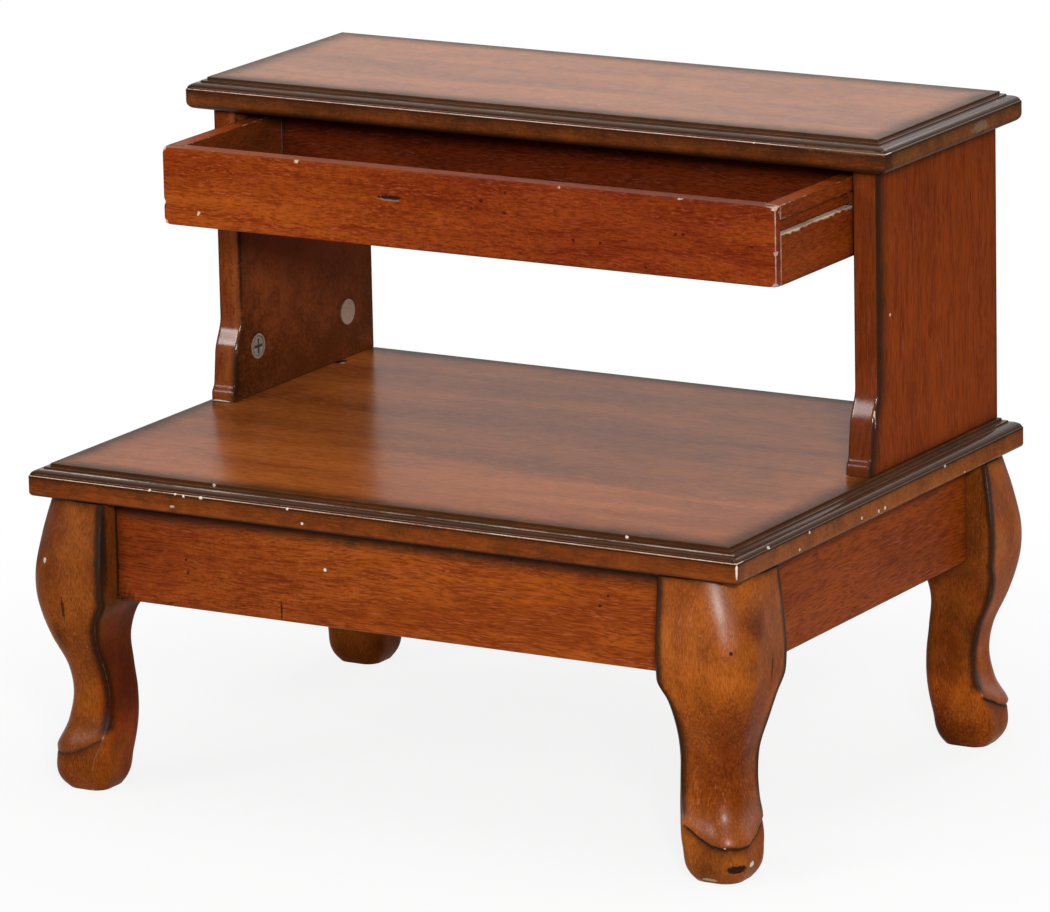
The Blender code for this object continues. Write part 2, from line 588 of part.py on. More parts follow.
def leg_stations():
    """Sizes up the leg: height, outer face, inner face, radii of the outer, side and inner corners."""
    toe, ankle = LEG_TOE_HEIGHT, LEG_ANKLE_HEIGHT
    knee = LEG_HEIGHT - LEG_KNEE_DROP
    ear = APRON_BOTTOM
    calf = ankle + (ear - ankle) * 0.58
    instep = toe + (ankle - toe) * 0.55
    shin = ankle + (calf - ankle) * 0.45
    rise = LEG_KNEE_OUTER - LEG_ANKLE_OUTER
    above_knee = (LEG_KNEE_OUTER * 2 + LEG_TOP_OUTER) / 3
    return np.array([
        (0, LEG_FOOT_OUTER, LEG_FOOT_INNER, 0.010, 0.008, 0.008),
        (LEG_FOOT_EASE, LEG_FOOT_OUTER + 0.0026, LEG_FOOT_INNER + 0.0021, 0.011, 0.009, 0.009),
        (toe, LEG_TOE_OUTER, LEG_HEEL_INNER - 0.0022, 0.012, 0.009, 0.010),
        (instep, LEG_ANKLE_OUTER + 0.0020, LEG_HEEL_INNER, 0.013, 0.004, 0.009),
        (ankle, LEG_ANKLE_OUTER, LEG_ANKLE_INNER, 0.014, 0.0025, 0.009),
        (shin, LEG_ANKLE_OUTER + rise * 0.12, LEG_CALF_INNER + 0.0010, 0.0145, 0.0025, 0.009),
        (calf, LEG_ANKLE_OUTER + rise * 0.57, LEG_CALF_INNER, 0.0155, 0.0025, 0.008),
        ((calf + ear) / 2, LEG_ANKLE_OUTER + rise * 0.80, LEG_CALF_INNER + 0.0022, 0.0163, 0.0025, 0.006),
        (ear, LEG_KNEE_OUTER - 0.0007, LEG_POST_INNER, 0.0178, 0.0022, 0.004),
        (knee, LEG_KNEE_OUTER, LEG_POST_INNER, 0.0195, 0.0022, 0.004),
        ((knee + LEG_HEIGHT) / 2, above_knee, LEG_POST_INNER, 0.0262, 0.0022, 0.004),
        (LEG_HEIGHT, LEG_TOP_OUTER, LEG_POST_INNER, 0.0350, 0.0022, 0.004),
    ])


def through_stations(stations, heights):
    """A smooth curve through the stations at the given heights: cubic pieces with matching slopes."""
    known = stations[:, 0]
    slopes = np.gradient(stations[:, 1:], known, axis=0)
    flat = stations[:, 2] == LEG_POST_INNER
    slopes[flat, 1] = 0
    piece = np.clip(np.searchsorted(known, heights, side="right") - 1, 0, len(known) - 2)
    span = (known[piece + 1] - known[piece])[..., None]
    t = np.clip((heights - known[piece])[..., None] / span, 0, 1)
    low, high = stations[piece, 1:], stations[piece + 1, 1:]
    blend = t * t * (3 - 2 * t)
    lean_low = t * (1 - t) ** 2 * span * slopes[piece]
    lean_high = t * t * (t - 1) * span * slopes[piece + 1]
    return low + (high - low) * blend + lean_low + lean_high


def leg_rings():
    """Rings of the cabriole leg in local axes: p and q point to the outer faces, heights start at the floor.

    The section is a square with a large round on the outer corner. The outer skin stands proud of the
    leg by the lip, from the top down to a tongue at the toe, which is lowest on the outer corner.
    """
    outer_angles = np.linspace(0, 90, 9)
    inner_angles = np.linspace(180, 270, 4)
    corner_of = np.repeat([0, 4, 1, 2, 3, 5], [9, 2, 3, 4, 3, 2])
    angle = np.radians(np.concatenate([
        outer_angles, (90, 90), (90, 135, 180), inner_angles, (270, 315, 360), (0, 0)]))
    outer_away = 0.35 * np.abs(outer_angles / 45 - 1)
    away = np.concatenate([outer_away, (0.55, 0.78), np.ones(10), (0.78, 0.55)])
    proud = np.concatenate([np.ones(9), (1, 1), (1, 0, 0), np.zeros(4), (0, 0, 1), (1, 1)])
    lip, top = LEG_LIP_HEIGHT, LEG_HEIGHT
    foot = [0, LEG_FOOT_EASE / 2, LEG_FOOT_EASE, lip * 0.6, lip - LEG_LIP_PROUD]
    shaft = [lip + (APRON_BOTTOM - lip) * step / 13 for step in range(14)]
    knee = [APRON_BOTTOM + (top - APRON_BOTTOM) * step / 5 for step in range(1, 6)]
    levels = np.array(foot + shaft + knee)
    warp_levels = (LEG_FOOT_EASE, lip - LEG_LIP_PROUD, lip, APRON_BOTTOM)
    warp = np.interp(levels, warp_levels, (0, 1, 1, 0)) * LEG_LIP_RISE
    heights = levels[:, None] + warp[:, None] * away ** 2
    size = through_stations(leg_stations(), heights)
    outer, inner, outer_round, side_round, inner_round = np.moveaxis(size, -1, 0)
    skin = np.where(levels[:, None] >= lip, proud, 0) * LEG_LIP_PROUD
    outer = outer - LEG_LIP_PROUD
    face = outer + skin
    share = np.where(np.isclose(away, 0.55), 1 / 3, 2 / 3)
    round_end = outer - outer_round
    side_start = -inner + side_round
    along_face = round_end + (side_start - round_end) * share
    cos, sin = np.cos(angle), np.sin(angle)
    reach = outer_round + skin
    side_face = outer - side_round
    side_reach = side_round + skin
    inner_start = inner_round - inner
    stretches = [corner_of == index for index in range(5)]
    p = np.select(stretches, [
        round_end + reach * cos, side_start + side_round * cos, inner_start + inner_round * cos,
        side_face + side_reach * cos, along_face], face)
    q = np.select(stretches, [
        round_end + reach * sin, side_face + side_reach * sin, inner_start + inner_round * sin,
        side_start + side_round * sin, face], along_face)
    return np.stack([p, q, heights], axis=-1)


def make_leg(corner, signs, wood, metal):
    """A cabriole leg under one corner, and the bolt that draws it to its corner block."""
    rings = leg_rings()
    place = np.array([signs[0] * LEG_X, signs[1] * LEG_Y, 0])
    rings = rings * np.array([signs[0], signs[1], 1]) + place
    leg = make_object(f"{corner}_leg", *loft(rings), wood)
    inward = Vector((-signs[0], -signs[1], 0)).normalized()
    axis_point = Vector((signs[0] * LEG_X, signs[1] * LEG_Y, bolt_level()))
    seat = axis_point + inward * (leg_corner_depth() + SEAT + BLOCK_THICKNESS)
    grip = BLOCK_THICKNESS + LEG_BOLT_GRIP
    head = LEG_BOLT_HEAD_THICKNESS
    profile = [
        (-grip, LEG_BOLT_RADIUS * 0.7), (-grip + LEG_BOLT_RADIUS, LEG_BOLT_RADIUS), (SEAT, LEG_BOLT_RADIUS),
        (SEAT, LEG_BOLT_HEAD_RADIUS), (SEAT + head / 3, LEG_BOLT_HEAD_RADIUS),
        (SEAT + head / 3, LEG_BOLT_HEAD_RADIUS * 0.72), (SEAT + head, LEG_BOLT_HEAD_RADIUS * 0.66),
    ]
    make_turned(f"{corner}_leg_bolt", profile, seat, inward, metal, 12)
    bore = [(-grip - SEAT, LEG_BOLT_RADIUS + SEAT), (0, LEG_BOLT_RADIUS + SEAT)]
    cut_away(leg, [make_turned(f"leg_bore_{corner}", bore, seat, inward, None, 12)])


def leg_corner_depth():
    """How far the post's rounded inner corner lies from the leg's axis, along the diagonal."""
    inner_round = leg_stations()[-1, 5]
    return (LEG_POST_INNER - inner_round) * math.sqrt(2) + inner_round


def bolt_level():
    """Height of the leg bolts: the middle of the corner blocks."""
    return LEG_HEIGHT - BLOCK_HEIGHT / 2


def block_outline():
    """Plan of a corner block, in distances inwards from the leg's axis: a bar set across the corner."""
    wall = SEAT - APRON_INNER
    front = (leg_corner_depth() + SEAT) * math.sqrt(2)
    back = front + BLOCK_THICKNESS * math.sqrt(2)
    return [(front - wall, wall), (back - wall, wall), (wall, back - wall), (wall, front - wall)]


def block_middle(signs):
    """The middle of a corner block in plan, to one side of its leg bolt."""
    depth = (leg_corner_depth() + SEAT + BLOCK_THICKNESS / 2) / math.sqrt(2)
    aside = LEG_BOLT_HEAD_RADIUS * 1.6
    return (signs[0] * (LEG_X - depth - aside), signs[1] * (LEG_Y - depth + aside))


def board_screw_bite():
    """How far the screws from the corner blocks go up into the lower board."""
    return TREAD_THICKNESS * 0.6


def make_block(corner, signs, wood, metal):
    """A corner block between two aprons, bored for its leg bolt and for a screw up into the lower board."""
    plan = [(signs[0] * (LEG_X - p), signs[1] * (LEG_Y - q)) for p, q in block_outline()]
    block = make_prism(f"{corner}_corner_block", plan, "z", LEG_HEIGHT - BLOCK_HEIGHT, LEG_HEIGHT, wood)
    inward = Vector((-signs[0], -signs[1], 0)).normalized()
    axis_point = Vector((signs[0] * LEG_X, signs[1] * LEG_Y, bolt_level()))
    far_side = leg_corner_depth() + 2 * BLOCK_THICKNESS
    through = [(0, LEG_BOLT_RADIUS + SEAT), (far_side, LEG_BOLT_RADIUS + SEAT)]
    start = (*block_middle(signs), LEG_HEIGHT - BLOCK_HEIGHT)
    screw, sink = screw_profiles(BLOCK_HEIGHT + SEAT + board_screw_bite())
    make_turned(f"{corner}_board_screw", screw, start, (0, 0, 1), metal, 12)
    cut_away(block, [
        make_turned(f"block_bore_{corner}", through, axis_point, inward, None, 12),
        make_turned(f"block_sink_{corner}", sink, start, (0, 0, 1), None, 12),
    ])


def make_aprons(wood):
    """Four aprons between the legs, each with eased arrises."""
    inner, outer = APRON_INNER, APRON_INNER + APRON_THICKNESS
    gap = LEG_POST_INNER + SEAT
    for name, sign in (("front_apron", -1), ("back_apron", 1)):
        edges = sorted((sign * (LEG_Y + inner), sign * (LEG_Y + outer)))
        outline = eased((edges[0], APRON_BOTTOM), (edges[1], LEG_HEIGHT), APRON_EASE)
        make_prism(name, outline, "x", gap - LEG_X, LEG_X - gap, wood)
    for side, sign in SIDES.items():
        edges = sorted((sign * (LEG_X + inner), sign * (LEG_X + outer)))
        outline = eased((edges[0], APRON_BOTTOM), (edges[1], LEG_HEIGHT), APRON_EASE)
        make_prism(f"{side}_apron", outline, "y", gap - LEG_Y, LEG_Y - gap, wood)


def main():
    """Builds the stool from the treads down to the legs."""
    clear_scene()
    tread_wood = make_material("tread_wood", (0.235, 0.085, 0.036), 0.35)
    panel_wood = make_material("panel_wood", (0.200, 0.050, 0.020), 0.40)
    drawer_wood = make_material("drawer_wood", (0.330, 0.095, 0.022), 0.40)
    box_wood = make_material("drawer_box_wood", (0.120, 0.030, 0.014), 0.45)
    leg_wood = make_material("leg_wood", (0.300, 0.105, 0.026), 0.35)
    hidden_wood = make_material("plain_wood", (0.420, 0.270, 0.150), 0.60)
    metal = make_material("zinc_metal", (0.480, 0.470, 0.450), 0.35, 1.0)
    pale = make_material("cap_plastic", (0.460, 0.380, 0.330), 0.50)
    make_treads(tread_wood)
    for side, sign in SIDES.items():
        make_panel(side, sign, panel_wood)
        make_cams(side, sign, metal, pale)
    make_dowels(hidden_wood)
    make_rail(panel_wood)
    make_runners(hidden_wood, metal)
    make_drawer(drawer_wood, box_wood)
    make_aprons(drawer_wood)
    for corner, signs in CORNERS.items():
        make_leg(corner, signs, leg_wood, metal)
        make_block(corner, signs, hidden_wood, metal)


main()
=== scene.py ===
"""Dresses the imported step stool: carved legs, moulded treads, a drawer, and an antiqued lacquer finish.

Metres, +Z up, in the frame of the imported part. Every new piece is a skin over rings of points worked out
with numpy. The wood is stained, darkened along its edges and in its hollows, and rubbed bare on its ridges.
"""

from __future__ import annotations

import json
import logging
import math
from dataclasses import dataclass, field, replace
from enum import Enum
from functools import reduce
from typing import Any, Callable, Iterable, Sequence

import bpy
import numpy as np
from mathutils import Matrix, Vector

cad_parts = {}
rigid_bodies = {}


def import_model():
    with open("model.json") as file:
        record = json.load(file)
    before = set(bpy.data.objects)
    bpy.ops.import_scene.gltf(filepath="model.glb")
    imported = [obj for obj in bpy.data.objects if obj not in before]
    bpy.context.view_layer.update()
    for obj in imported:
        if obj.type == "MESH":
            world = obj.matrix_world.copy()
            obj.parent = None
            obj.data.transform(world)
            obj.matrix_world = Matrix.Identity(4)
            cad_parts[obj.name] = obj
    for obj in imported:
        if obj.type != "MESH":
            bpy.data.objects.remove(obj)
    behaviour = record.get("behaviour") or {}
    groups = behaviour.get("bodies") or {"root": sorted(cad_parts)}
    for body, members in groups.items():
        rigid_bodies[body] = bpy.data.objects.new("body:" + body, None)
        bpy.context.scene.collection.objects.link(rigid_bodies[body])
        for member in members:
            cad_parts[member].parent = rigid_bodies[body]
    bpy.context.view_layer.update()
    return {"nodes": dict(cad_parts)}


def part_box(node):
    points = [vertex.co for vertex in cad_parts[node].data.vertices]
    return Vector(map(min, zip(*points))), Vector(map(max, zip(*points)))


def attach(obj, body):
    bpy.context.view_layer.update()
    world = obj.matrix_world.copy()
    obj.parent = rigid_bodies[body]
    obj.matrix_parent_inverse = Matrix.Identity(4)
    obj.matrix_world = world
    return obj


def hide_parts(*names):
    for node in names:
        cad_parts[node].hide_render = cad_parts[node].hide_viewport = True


LOG = logging.getLogger("step_stool")
Colour = tuple[float, float, float]
Place = tuple[float, float, float]

STOOL = "stool"
DRAWER = "drawer"
SIDES = {"left": -1, "right": 1}
CORNERS = {"front_left": (-1, -1), "front_right": (1, -1), "back_left": (-1, 1), "back_right": (1, 1)}

# Sizes shared by several sub-assemblies
TREAD_WIDTH = 0.456
LOWER_DEPTH = 0.345
UPPER_DEPTH = 0.169
LOWER_TOP = 0.1903
UPPER_TOP = 0.3808
TREAD_THICKNESS = 0.018
SEAT = 0.0003
PANEL_OUTER = 0.2162
PANEL_THICKNESS = 0.015
PANEL_INNER = PANEL_OUTER - PANEL_THICKNESS
PANEL_FRONT = 0.0151
PANEL_BACK = 0.1625
LEG_X = 0.204
LEG_Y = 0.1485
LEG_HEIGHT = LOWER_TOP - TREAD_THICKNESS - SEAT
APRON_BOTTOM = LEG_HEIGHT - 0.057
APRON_FACE = -0.1608

# How finely skins are cut, and how far wear and dirt reach from their edges
GUARD = 0.0004
ARC_POINTS = 6
RIDGE_WEAR = 0.0007
HOLLOW_DIRT = 0.0015
SHARP_ANGLE = math.radians(38)
QUARTER_TURN = math.pi / 2

# Colours shared by several finishes and marks
CREAM = (0.80, 0.72, 0.62)
SOOT = (0.010, 0.006, 0.004)
PIN_HOLE = (0.045, 0.005, 0.003)
WORM_HOLE = (0.010, 0.004, 0.003)
# Colour of painted shade in the recesses of plain finishes.
RECESS_SHADE = (0.020, 0.015, 0.012)
WHITE = (1.0, 1.0, 1.0)


def bell(distance: np.ndarray, width: float, power: float = 2.0) -> np.ndarray:
    """A value that falls from 1: the exponential of minus the power of the distance over the width."""
    return np.exp(-(np.abs(distance / width) ** power))


def dimmed(colour: Colour, share: float) -> Colour:
    """A colour with each part multiplied by a share."""
    return tuple(share * part for part in colour)


def joined(operation: str, swapped: bool = False) -> Callable[["Tone", Any], "Tone"]:
    """Makes an operator that adds a Math node.

    Args:
        operation: the Math node's operation.
        swapped: whether the other value comes first, as in a reflected operator.

    Returns:
        The operator, as a method.
    """
    def method(self: "Tone", other: Any) -> "Tone":
        """This value and another, through a Math node."""
        first, second = (other, self) if swapped else (self, other)
        return self.bench.math(operation, first, second)

    return method


class Grain(Enum):
    """The direction in which the wood's fibres run."""

    ALONG_X = 0
    ALONG_Y = 1
    UPRIGHT = 2

    def stretch(self, along: float, across: float) -> Place:
        """Scales of a pattern that is long with the fibres and narrow across them."""
        return tuple(along if axis == self.value else across for axis in range(3))


class Blend(Enum):
    """How a colour is laid on another: over it, or multiplied with it."""

    COVER = "MIX"
    TINT = "MULTIPLY"


class Tone:
    """A value that varies over a surface: a socket whose Python operators add Math nodes."""

    def __init__(self, bench: "Bench", socket: bpy.types.NodeSocket) -> None:
        """Keeps the socket and the bench that its nodes stand on."""
        self.bench = bench
        self.socket = socket

    __add__ = joined("ADD")
    __radd__ = __add__
    __sub__ = joined("SUBTRACT")
    __rsub__ = joined("SUBTRACT", swapped=True)
    __mul__ = joined("MULTIPLY")
    __rmul__ = __mul__
    __truediv__ = joined("DIVIDE")
    most = joined("MAXIMUM")

    def rise(self, low: float, high: float) -> "Tone":
        """A smooth step from 0 at the low value to 1 at the high one."""
        sockets = {"Value": self, "From Min": low, "From Max": high}
        return self.bench.tone("ShaderNodeMapRange", {"interpolation_type": "SMOOTHSTEP"}, sockets)


class Bench:
    """The node tree of a material or a world, with one method that makes any node."""

    def __init__(self, owner: bpy.types.Material | bpy.types.World) -> None:
        """Opens a node tree.

        Args:
            owner: the material or the world that it belongs to.
        """
        owner.use_nodes = True
        self.owner = owner
        self.tree = owner.node_tree
        self.shader = self.tree.nodes.get("Principled BSDF")

    def feed(self, socket: bpy.types.NodeSocket, value: Any) -> None:
        """Links a socket to a varying value, or sets it to a constant.

        Args:
            socket: the input to fill.
            value: a Tone, a socket, a number, or a colour or vector as a tuple.
        """
        if isinstance(value, Tone):
            value = value.socket
        if isinstance(value, bpy.types.NodeSocket):
            self.tree.links.new(value, socket)
        elif isinstance(value, tuple) and len(value) == 3 and len(socket.default_value) == 4:
            socket.default_value = (*value, 1.0)
        else:
            socket.default_value = value

    def node(self, kind: str, settings: dict[str, Any], sockets: dict[Any, Any]) -> bpy.types.Node:
        """Makes a node.

        Args:
            kind: the node's type name.
            settings: its properties, which are set first.
            sockets: values or links by the name or the number of its inputs.

        Returns:
            The node.
        """
        made = self.tree.nodes.new(kind)
        for name, value in settings.items():
            setattr(made, name, value)
        for name, value in sockets.items():
            self.feed(made.inputs[name], value)
        return made

    def tone(self, kind: str, settings: dict[str, Any], sockets: dict[Any, Any], output: Any = 0) -> Tone:
        """A new node's output, as a value to reckon with."""
        return Tone(self, self.node(kind, settings, sockets).outputs[output])

    def math(self, operation: str, first: Any, second: Any) -> Tone:
        """A Math node on two values."""
        return self.tone("ShaderNodeMath", {"operation": operation}, {0: first, 1: second})

    def mix(self, first: Any, second: Any, share: Any, blend: Blend = Blend.COVER) -> bpy.types.NodeSocket:
        """A colour that goes from the first to the second as the share goes from 0 to 1."""
        settings = {"data_type": "RGBA", "blend_type": blend.value}
        return self.node("ShaderNodeMix", settings, {0: share, 6: first, 7: second}).outputs[2]

    def vector(self, operation: str, sockets: dict[int, Any]) -> bpy.types.Node:
        """A Vector Math node."""
        return self.node("ShaderNodeVectorMath", {"operation": operation}, sockets)

    def scaled(self, vector: Any, scales: Place) -> bpy.types.NodeSocket:
        """A vector with each part multiplied by its own scale."""
        return self.vector("MULTIPLY", {0: vector, 1: scales}).outputs[0]

    def shifted(self, vector: Any, step: Any) -> bpy.types.NodeSocket:
        """A vector moved by another."""
        return self.vector("ADD", {0: vector, 1: step}).outputs[0]

    def length(self, vector: Any) -> Tone:
        """A vector's length."""
        return Tone(self, self.vector("LENGTH", {0: vector}).outputs["Value"])

    def noise(self, vector: Any, scale: float = 1.0, detail: float = 2.0, rough: float = 0.5,
              twist: float = 0.0) -> Tone:
        """Soft noise between 0 and 1, about 0.5 on average."""
        sockets = {"Vector": vector, "Scale": scale, "Detail": detail, "Roughness": rough}
        return self.tone("ShaderNodeTexNoise", {}, sockets | {"Distortion": twist})

    def painted(self, name: str) -> Tone:
        """A value that the piece's own mesh carries."""
        return self.tone("ShaderNodeAttribute", {"attribute_name": name}, {}, "Fac")

    def place(self) -> bpy.types.NodeSocket:
        """The surface's place in the object's frame."""
        return self.node("ShaderNodeTexCoord", {}, {}).outputs["Object"]

    def ray(self, *kinds: str) -> Tone:
        """1 for rays of any of the kinds, which are outputs of the Light Path node, and 0 for others."""
        path = self.node("ShaderNodeLightPath", {}, {})
        return reduce(Tone.most, (Tone(self, path.outputs[kind]) for kind in kinds))

    def spots(self, vector: Any, scale: float, radius: float, share: float) -> Tone:
        """Small round spots in some cells of a scatter.

        Args:
            vector: the place.
            scale: cells to the metre.
            radius: a spot's radius as a share of a cell.
            share: how many cells have a spot, from 0 to 1.

        Returns:
            1 inside a spot and 0 outside.
        """
        cells = self.node("ShaderNodeTexVoronoi", {}, {"Vector": vector, "Scale": scale})
        pick = self.node("ShaderNodeSeparateColor", {}, {0: cells.outputs["Color"]})
        chosen = Tone(self, pick.outputs[0]).rise(1 - share, 1 - share + 0.01)
        size = Tone(self, pick.outputs[1]) * 0.7 + 0.5
        near = Tone(self, cells.outputs["Distance"]) / size
        return (1 - near.rise(radius * 0.6, radius)) * chosen

    def relief(self, height: Tone, strength: float, depth: float) -> bpy.types.NodeSocket:
        """A normal that follows a height, which is 1 at the depth."""
        sockets = {"Strength": strength, "Distance": depth, "Height": height}
        return self.node("ShaderNodeBump", {}, sockets).outputs[0]

    def shade(self, inputs: dict[str, Any]) -> bpy.types.Material:
        """Feeds the shader.

        Args:
            inputs: values or links by the name of the input.

        Returns:
            The finished material.
        """
        for name, value in inputs.items():
            self.feed(self.shader.inputs[name], value)
        return self.owner


@dataclass(frozen=True)
class Mark:
    """One burn, slit, stain or bare patch: an ellipsoid that fades from its core's share outwards.

    A covering mark has a colour of its own. A tinting one multiplies the wood's colour, and its grain shows.
    """

    centre: Place
    reach: Place
    colour: Colour
    strength: float = 0.9
    core: float = 0.70
    blend: Blend = Blend.COVER

    @classmethod
    def tint(cls, centre: Place, reach: Place, colour: Colour) -> "Mark":
        """A soft mark that multiplies the wood's colour."""
        return cls(centre, reach, colour, 1.0, 0.0, Blend.TINT)

    @classmethod
    def several(cls, colour: Colour, rows: Iterable[Sequence[float]]) -> tuple["Mark", ...]:
        """Covering marks of one colour, from rows of centre, reach and strength."""
        return tuple(cls(tuple(row[:3]), tuple(row[3:6]), colour, row[6]) for row in rows)

    def share(self, bench: Bench, cloud: Tone) -> Tone:
        """Where the mark shows: inside its ellipsoid, with a ragged edge.

        Args:
            bench: the material's bench.
            cloud: noise that makes the edge ragged.

        Returns:
            The mark's strength inside it, and 0 outside.
        """
        step = bench.shifted(bench.place(), tuple(-part for part in self.centre))
        unit = bench.scaled(step, tuple(1 / part for part in self.reach))
        ragged = bench.length(unit) + (cloud - 0.5) * 2.2
        return (1 - ragged.rise(self.core, 1.05)) * self.strength


@dataclass(frozen=True)
class StainedWood:
    """Stained and antiqued wood under satin lacquer.

    Broad figure and streaks along the fibres move the colour between shade and heart, clouds darken it, and
    short pores that follow the streaks are cut into it. The painted grime value darkens edges and hollows,
    and is also painted shade where a face lies in shade, as inside the drawer, on inner faces and under the
    treads.
    The painted wear value rubs ridges to bare wood with pale flecks beside them, and along the treads'
    moulding it is also a painted highlight. Sheen is where hands and feet have polished the lacquer.
    """

    name: str
    heart: Colour
    shade: Colour
    grain: Grain
    shift: Place = (0.0, 0.0, 0.0)
    rough: float = 0.36
    specular: float = 0.05
    coat: float = 0.0
    coat_rough: float = 0.14
    # Colour of grime, also used for painted shade.
    grime_and_shade: Colour = (0.026, 0.0130, 0.0062)
    grime_and_shade_strength: float = 0.92
    # Colour of bare wood; on the treads it is pale enough to paint the highlight along the nose too.
    bare: Colour = (0.66, 0.50, 0.36)
    pore_length: float = 0.0060
    pore_width: float = 0.00075
    pore_depth: float = 0.65
    worm_share: float = 0.06
    fleck_share: float = 0.10
    figure: float = 0.5
    figure_length: float = 0.20
    sway: float = 0.010
    clouds: float = 0.25
    bump: float = 0.20
    bump_depth: float = 0.0003
    sway_scales: tuple[float, float] = (16.0, 30.0)
    streak_scales: tuple[float, float] = (20.0, 300.0)
    figure_across: float = 32.0
    cloud_scale: float = 60.0
    crumb_scale: float = 520.0
    patch_scale: float = 30.0
    worm_scale: float = 48.0
    fleck_scale: float = 130.0
    marks: tuple[Mark, ...] = ()

    def fibres(self, bench: Bench, place: Any) -> tuple[Tone, Tone, Tone]:
        """The wood's pattern at three scales, which sway together.

        Args:
            bench: the material's bench.
            place: the place in the wood.

        Returns:
            The broad figure, the streaks and the fibres, each between 0 and 1.
        """
        stretch = self.grain.stretch
        swing = (bench.noise(bench.scaled(place, stretch(*self.sway_scales))) - 0.5) * self.sway
        flow = bench.shifted(place, bench.vector("SCALE", {0: WHITE, 3: swing}).outputs[0])
        wide = stretch(1 / self.figure_length, self.figure_across)
        broad = bench.noise(bench.scaled(flow, wide), twist=0.6)
        streak = bench.noise(bench.scaled(flow, stretch(*self.streak_scales)), rough=0.6)
        fine = stretch(1 / self.pore_length, 1 / self.pore_width)
        return broad, streak, bench.noise(bench.scaled(flow, fine), rough=0.65)

    def bared_and_highlit(self, bench: Bench, place: Any, crumbs: Tone) -> Tone:
        """Where the wood is bare: rubbed ridges, flecks beside them, and chips. On the treads' moulding the
        rubbed ridges are also painted highlights.

        Args:
            bench: the material's bench.
            place: the place in the wood.
            crumbs: fine noise.

        Returns:
            1 where the wood is bare and 0 under sound lacquer.
        """
        worn_and_highlit, chip = bench.painted("wear"), bench.painted("chip")
        patches = bench.noise(place, scale=self.patch_scale)
        rubbed = (worn_and_highlit * (patches * 0.9 + crumbs * 0.5 + 0.05)).rise(0.34, 0.86)
        flecks = bench.spots(place, self.fleck_scale, 0.11, self.fleck_share) * worn_and_highlit.rise(0.04, 0.12)
        chips = (chip + (crumbs - 0.5) * 1.8).rise(0.50, 0.66) * chip.rise(0.05, 0.3)
        return (rubbed * 0.8).most(flecks).most(chips)

    def make(self) -> bpy.types.Material:
        """Builds the material.

        Returns:
            The finished material.
        """
        bench = Bench(bpy.data.materials.new(self.name))
        place = bench.shifted(bench.place(), self.shift)
        broad, streak, fibre = self.fibres(bench, place)
        cloud = bench.noise(place, scale=self.cloud_scale, detail=4.0, rough=0.62)
        crumbs = bench.noise(place, scale=self.crumb_scale, rough=0.7)
        tone = (broad * self.figure + streak * (1 - self.figure)).rise(0.36, 0.64)
        pores = (fibre * 0.8 + streak * 0.2).rise(0.47, 0.68)
        glint = (1 - fibre.rise(0.32, 0.50)) * (1 - streak.rise(0.40, 0.60))
        pale = tuple(1.15 * part + 0.030 for part in self.heart)
        dust = cloud * 0.5 + crumbs * 0.4 + 0.55
        # Painted grime on edges and in hollows, with painted shade where a face lies in shade.
        grime_and_shade = (bench.painted("grime_and_shade") * dust).rise(0.10, 0.95) * self.grime_and_shade_strength
        worms = bench.spots(place, self.worm_scale, 0.045, self.worm_share)
        bare = self.bared_and_highlit(bench, place, crumbs)
        colour = bench.mix(self.shade, self.heart, tone)
        for layer, share in (
                (dimmed(self.shade, 0.55), cloud.rise(0.45, 0.75) * self.clouds),
                (dimmed(self.shade, 0.45), pores * self.pore_depth), (pale, glint * 0.55),
                (self.grime_and_shade, grime_and_shade), (WORM_HOLE, worms * 0.85), (self.bare, bare)):
            colour = bench.mix(colour, layer, share)
        for mark in self.marks:
            share = mark.share(bench, cloud * 0.5 + crumbs * 0.5)
            colour = bench.mix(colour, mark.colour, share, mark.blend)
        height = streak * 0.30 - pores * 0.5 - worms * 1.4 + cloud * 0.3 - bare * 0.4
        return bench.shade({
            "Base Color": colour,
            "Roughness": streak * 0.10 + (self.rough - 0.05) + bare * 0.25 + grime_and_shade * 0.08,
            "Specular IOR Level": self.specular,
            "Coat Roughness": self.coat_rough,
            "Coat Weight": ((1 - grime_and_shade) * self.coat + bench.painted("sheen")).most(0.0),
            "Normal": bench.relief(height, self.bump, self.bump_depth)})


@dataclass(frozen=True)
class PlainFinish:
    """A finish of one colour, finely mottled, with painted shade in its hollows: raw wood, metal or plastic.
    """

    name: str
    colour: Colour
    rough: float
    metallic: float = 0.0
    mottle: float = 0.25
    scale: float = 260.0
    stretch: Place = WHITE

    def make(self) -> bpy.types.Material:
        """Builds the material.

        Returns:
            The finished material.
        """
        bench = Bench(bpy.data.materials.new(self.name))
        place = bench.scaled(bench.place(), self.stretch)
        coarse = bench.noise(place, scale=self.scale, detail=3.0, rough=0.6)
        fine = bench.noise(place, scale=self.scale * 6, detail=1.0)
        tone = coarse * 0.7 + fine * 0.3
        light = tuple(min(1.0, part * (1 + self.mottle)) for part in self.colour)
        colour = bench.mix(dimmed(self.colour, 1 - self.mottle), light, tone.rise(0.3, 0.7))
        # Painted shade in recesses, such as a cam's cross and ring groove.
        grime_and_shade = bench.painted("grime_and_shade") * 0.9
        return bench.shade({
            "Base Color": bench.mix(colour, RECESS_SHADE, grime_and_shade),
            "Roughness": tone * 0.2 + (self.rough - 0.1) + grime_and_shade * 0.2,
            "Metallic": self.metallic,
            "Normal": bench.relief(tone, 0.15, 0.0002)})


@dataclass(frozen=True)
class Nick:
    """A chip knocked out of an edge: where it is, how far it reaches, and the way into the wood."""

    centre: Place
    radius: float
    inward: Place
    depth: float = 0.0006


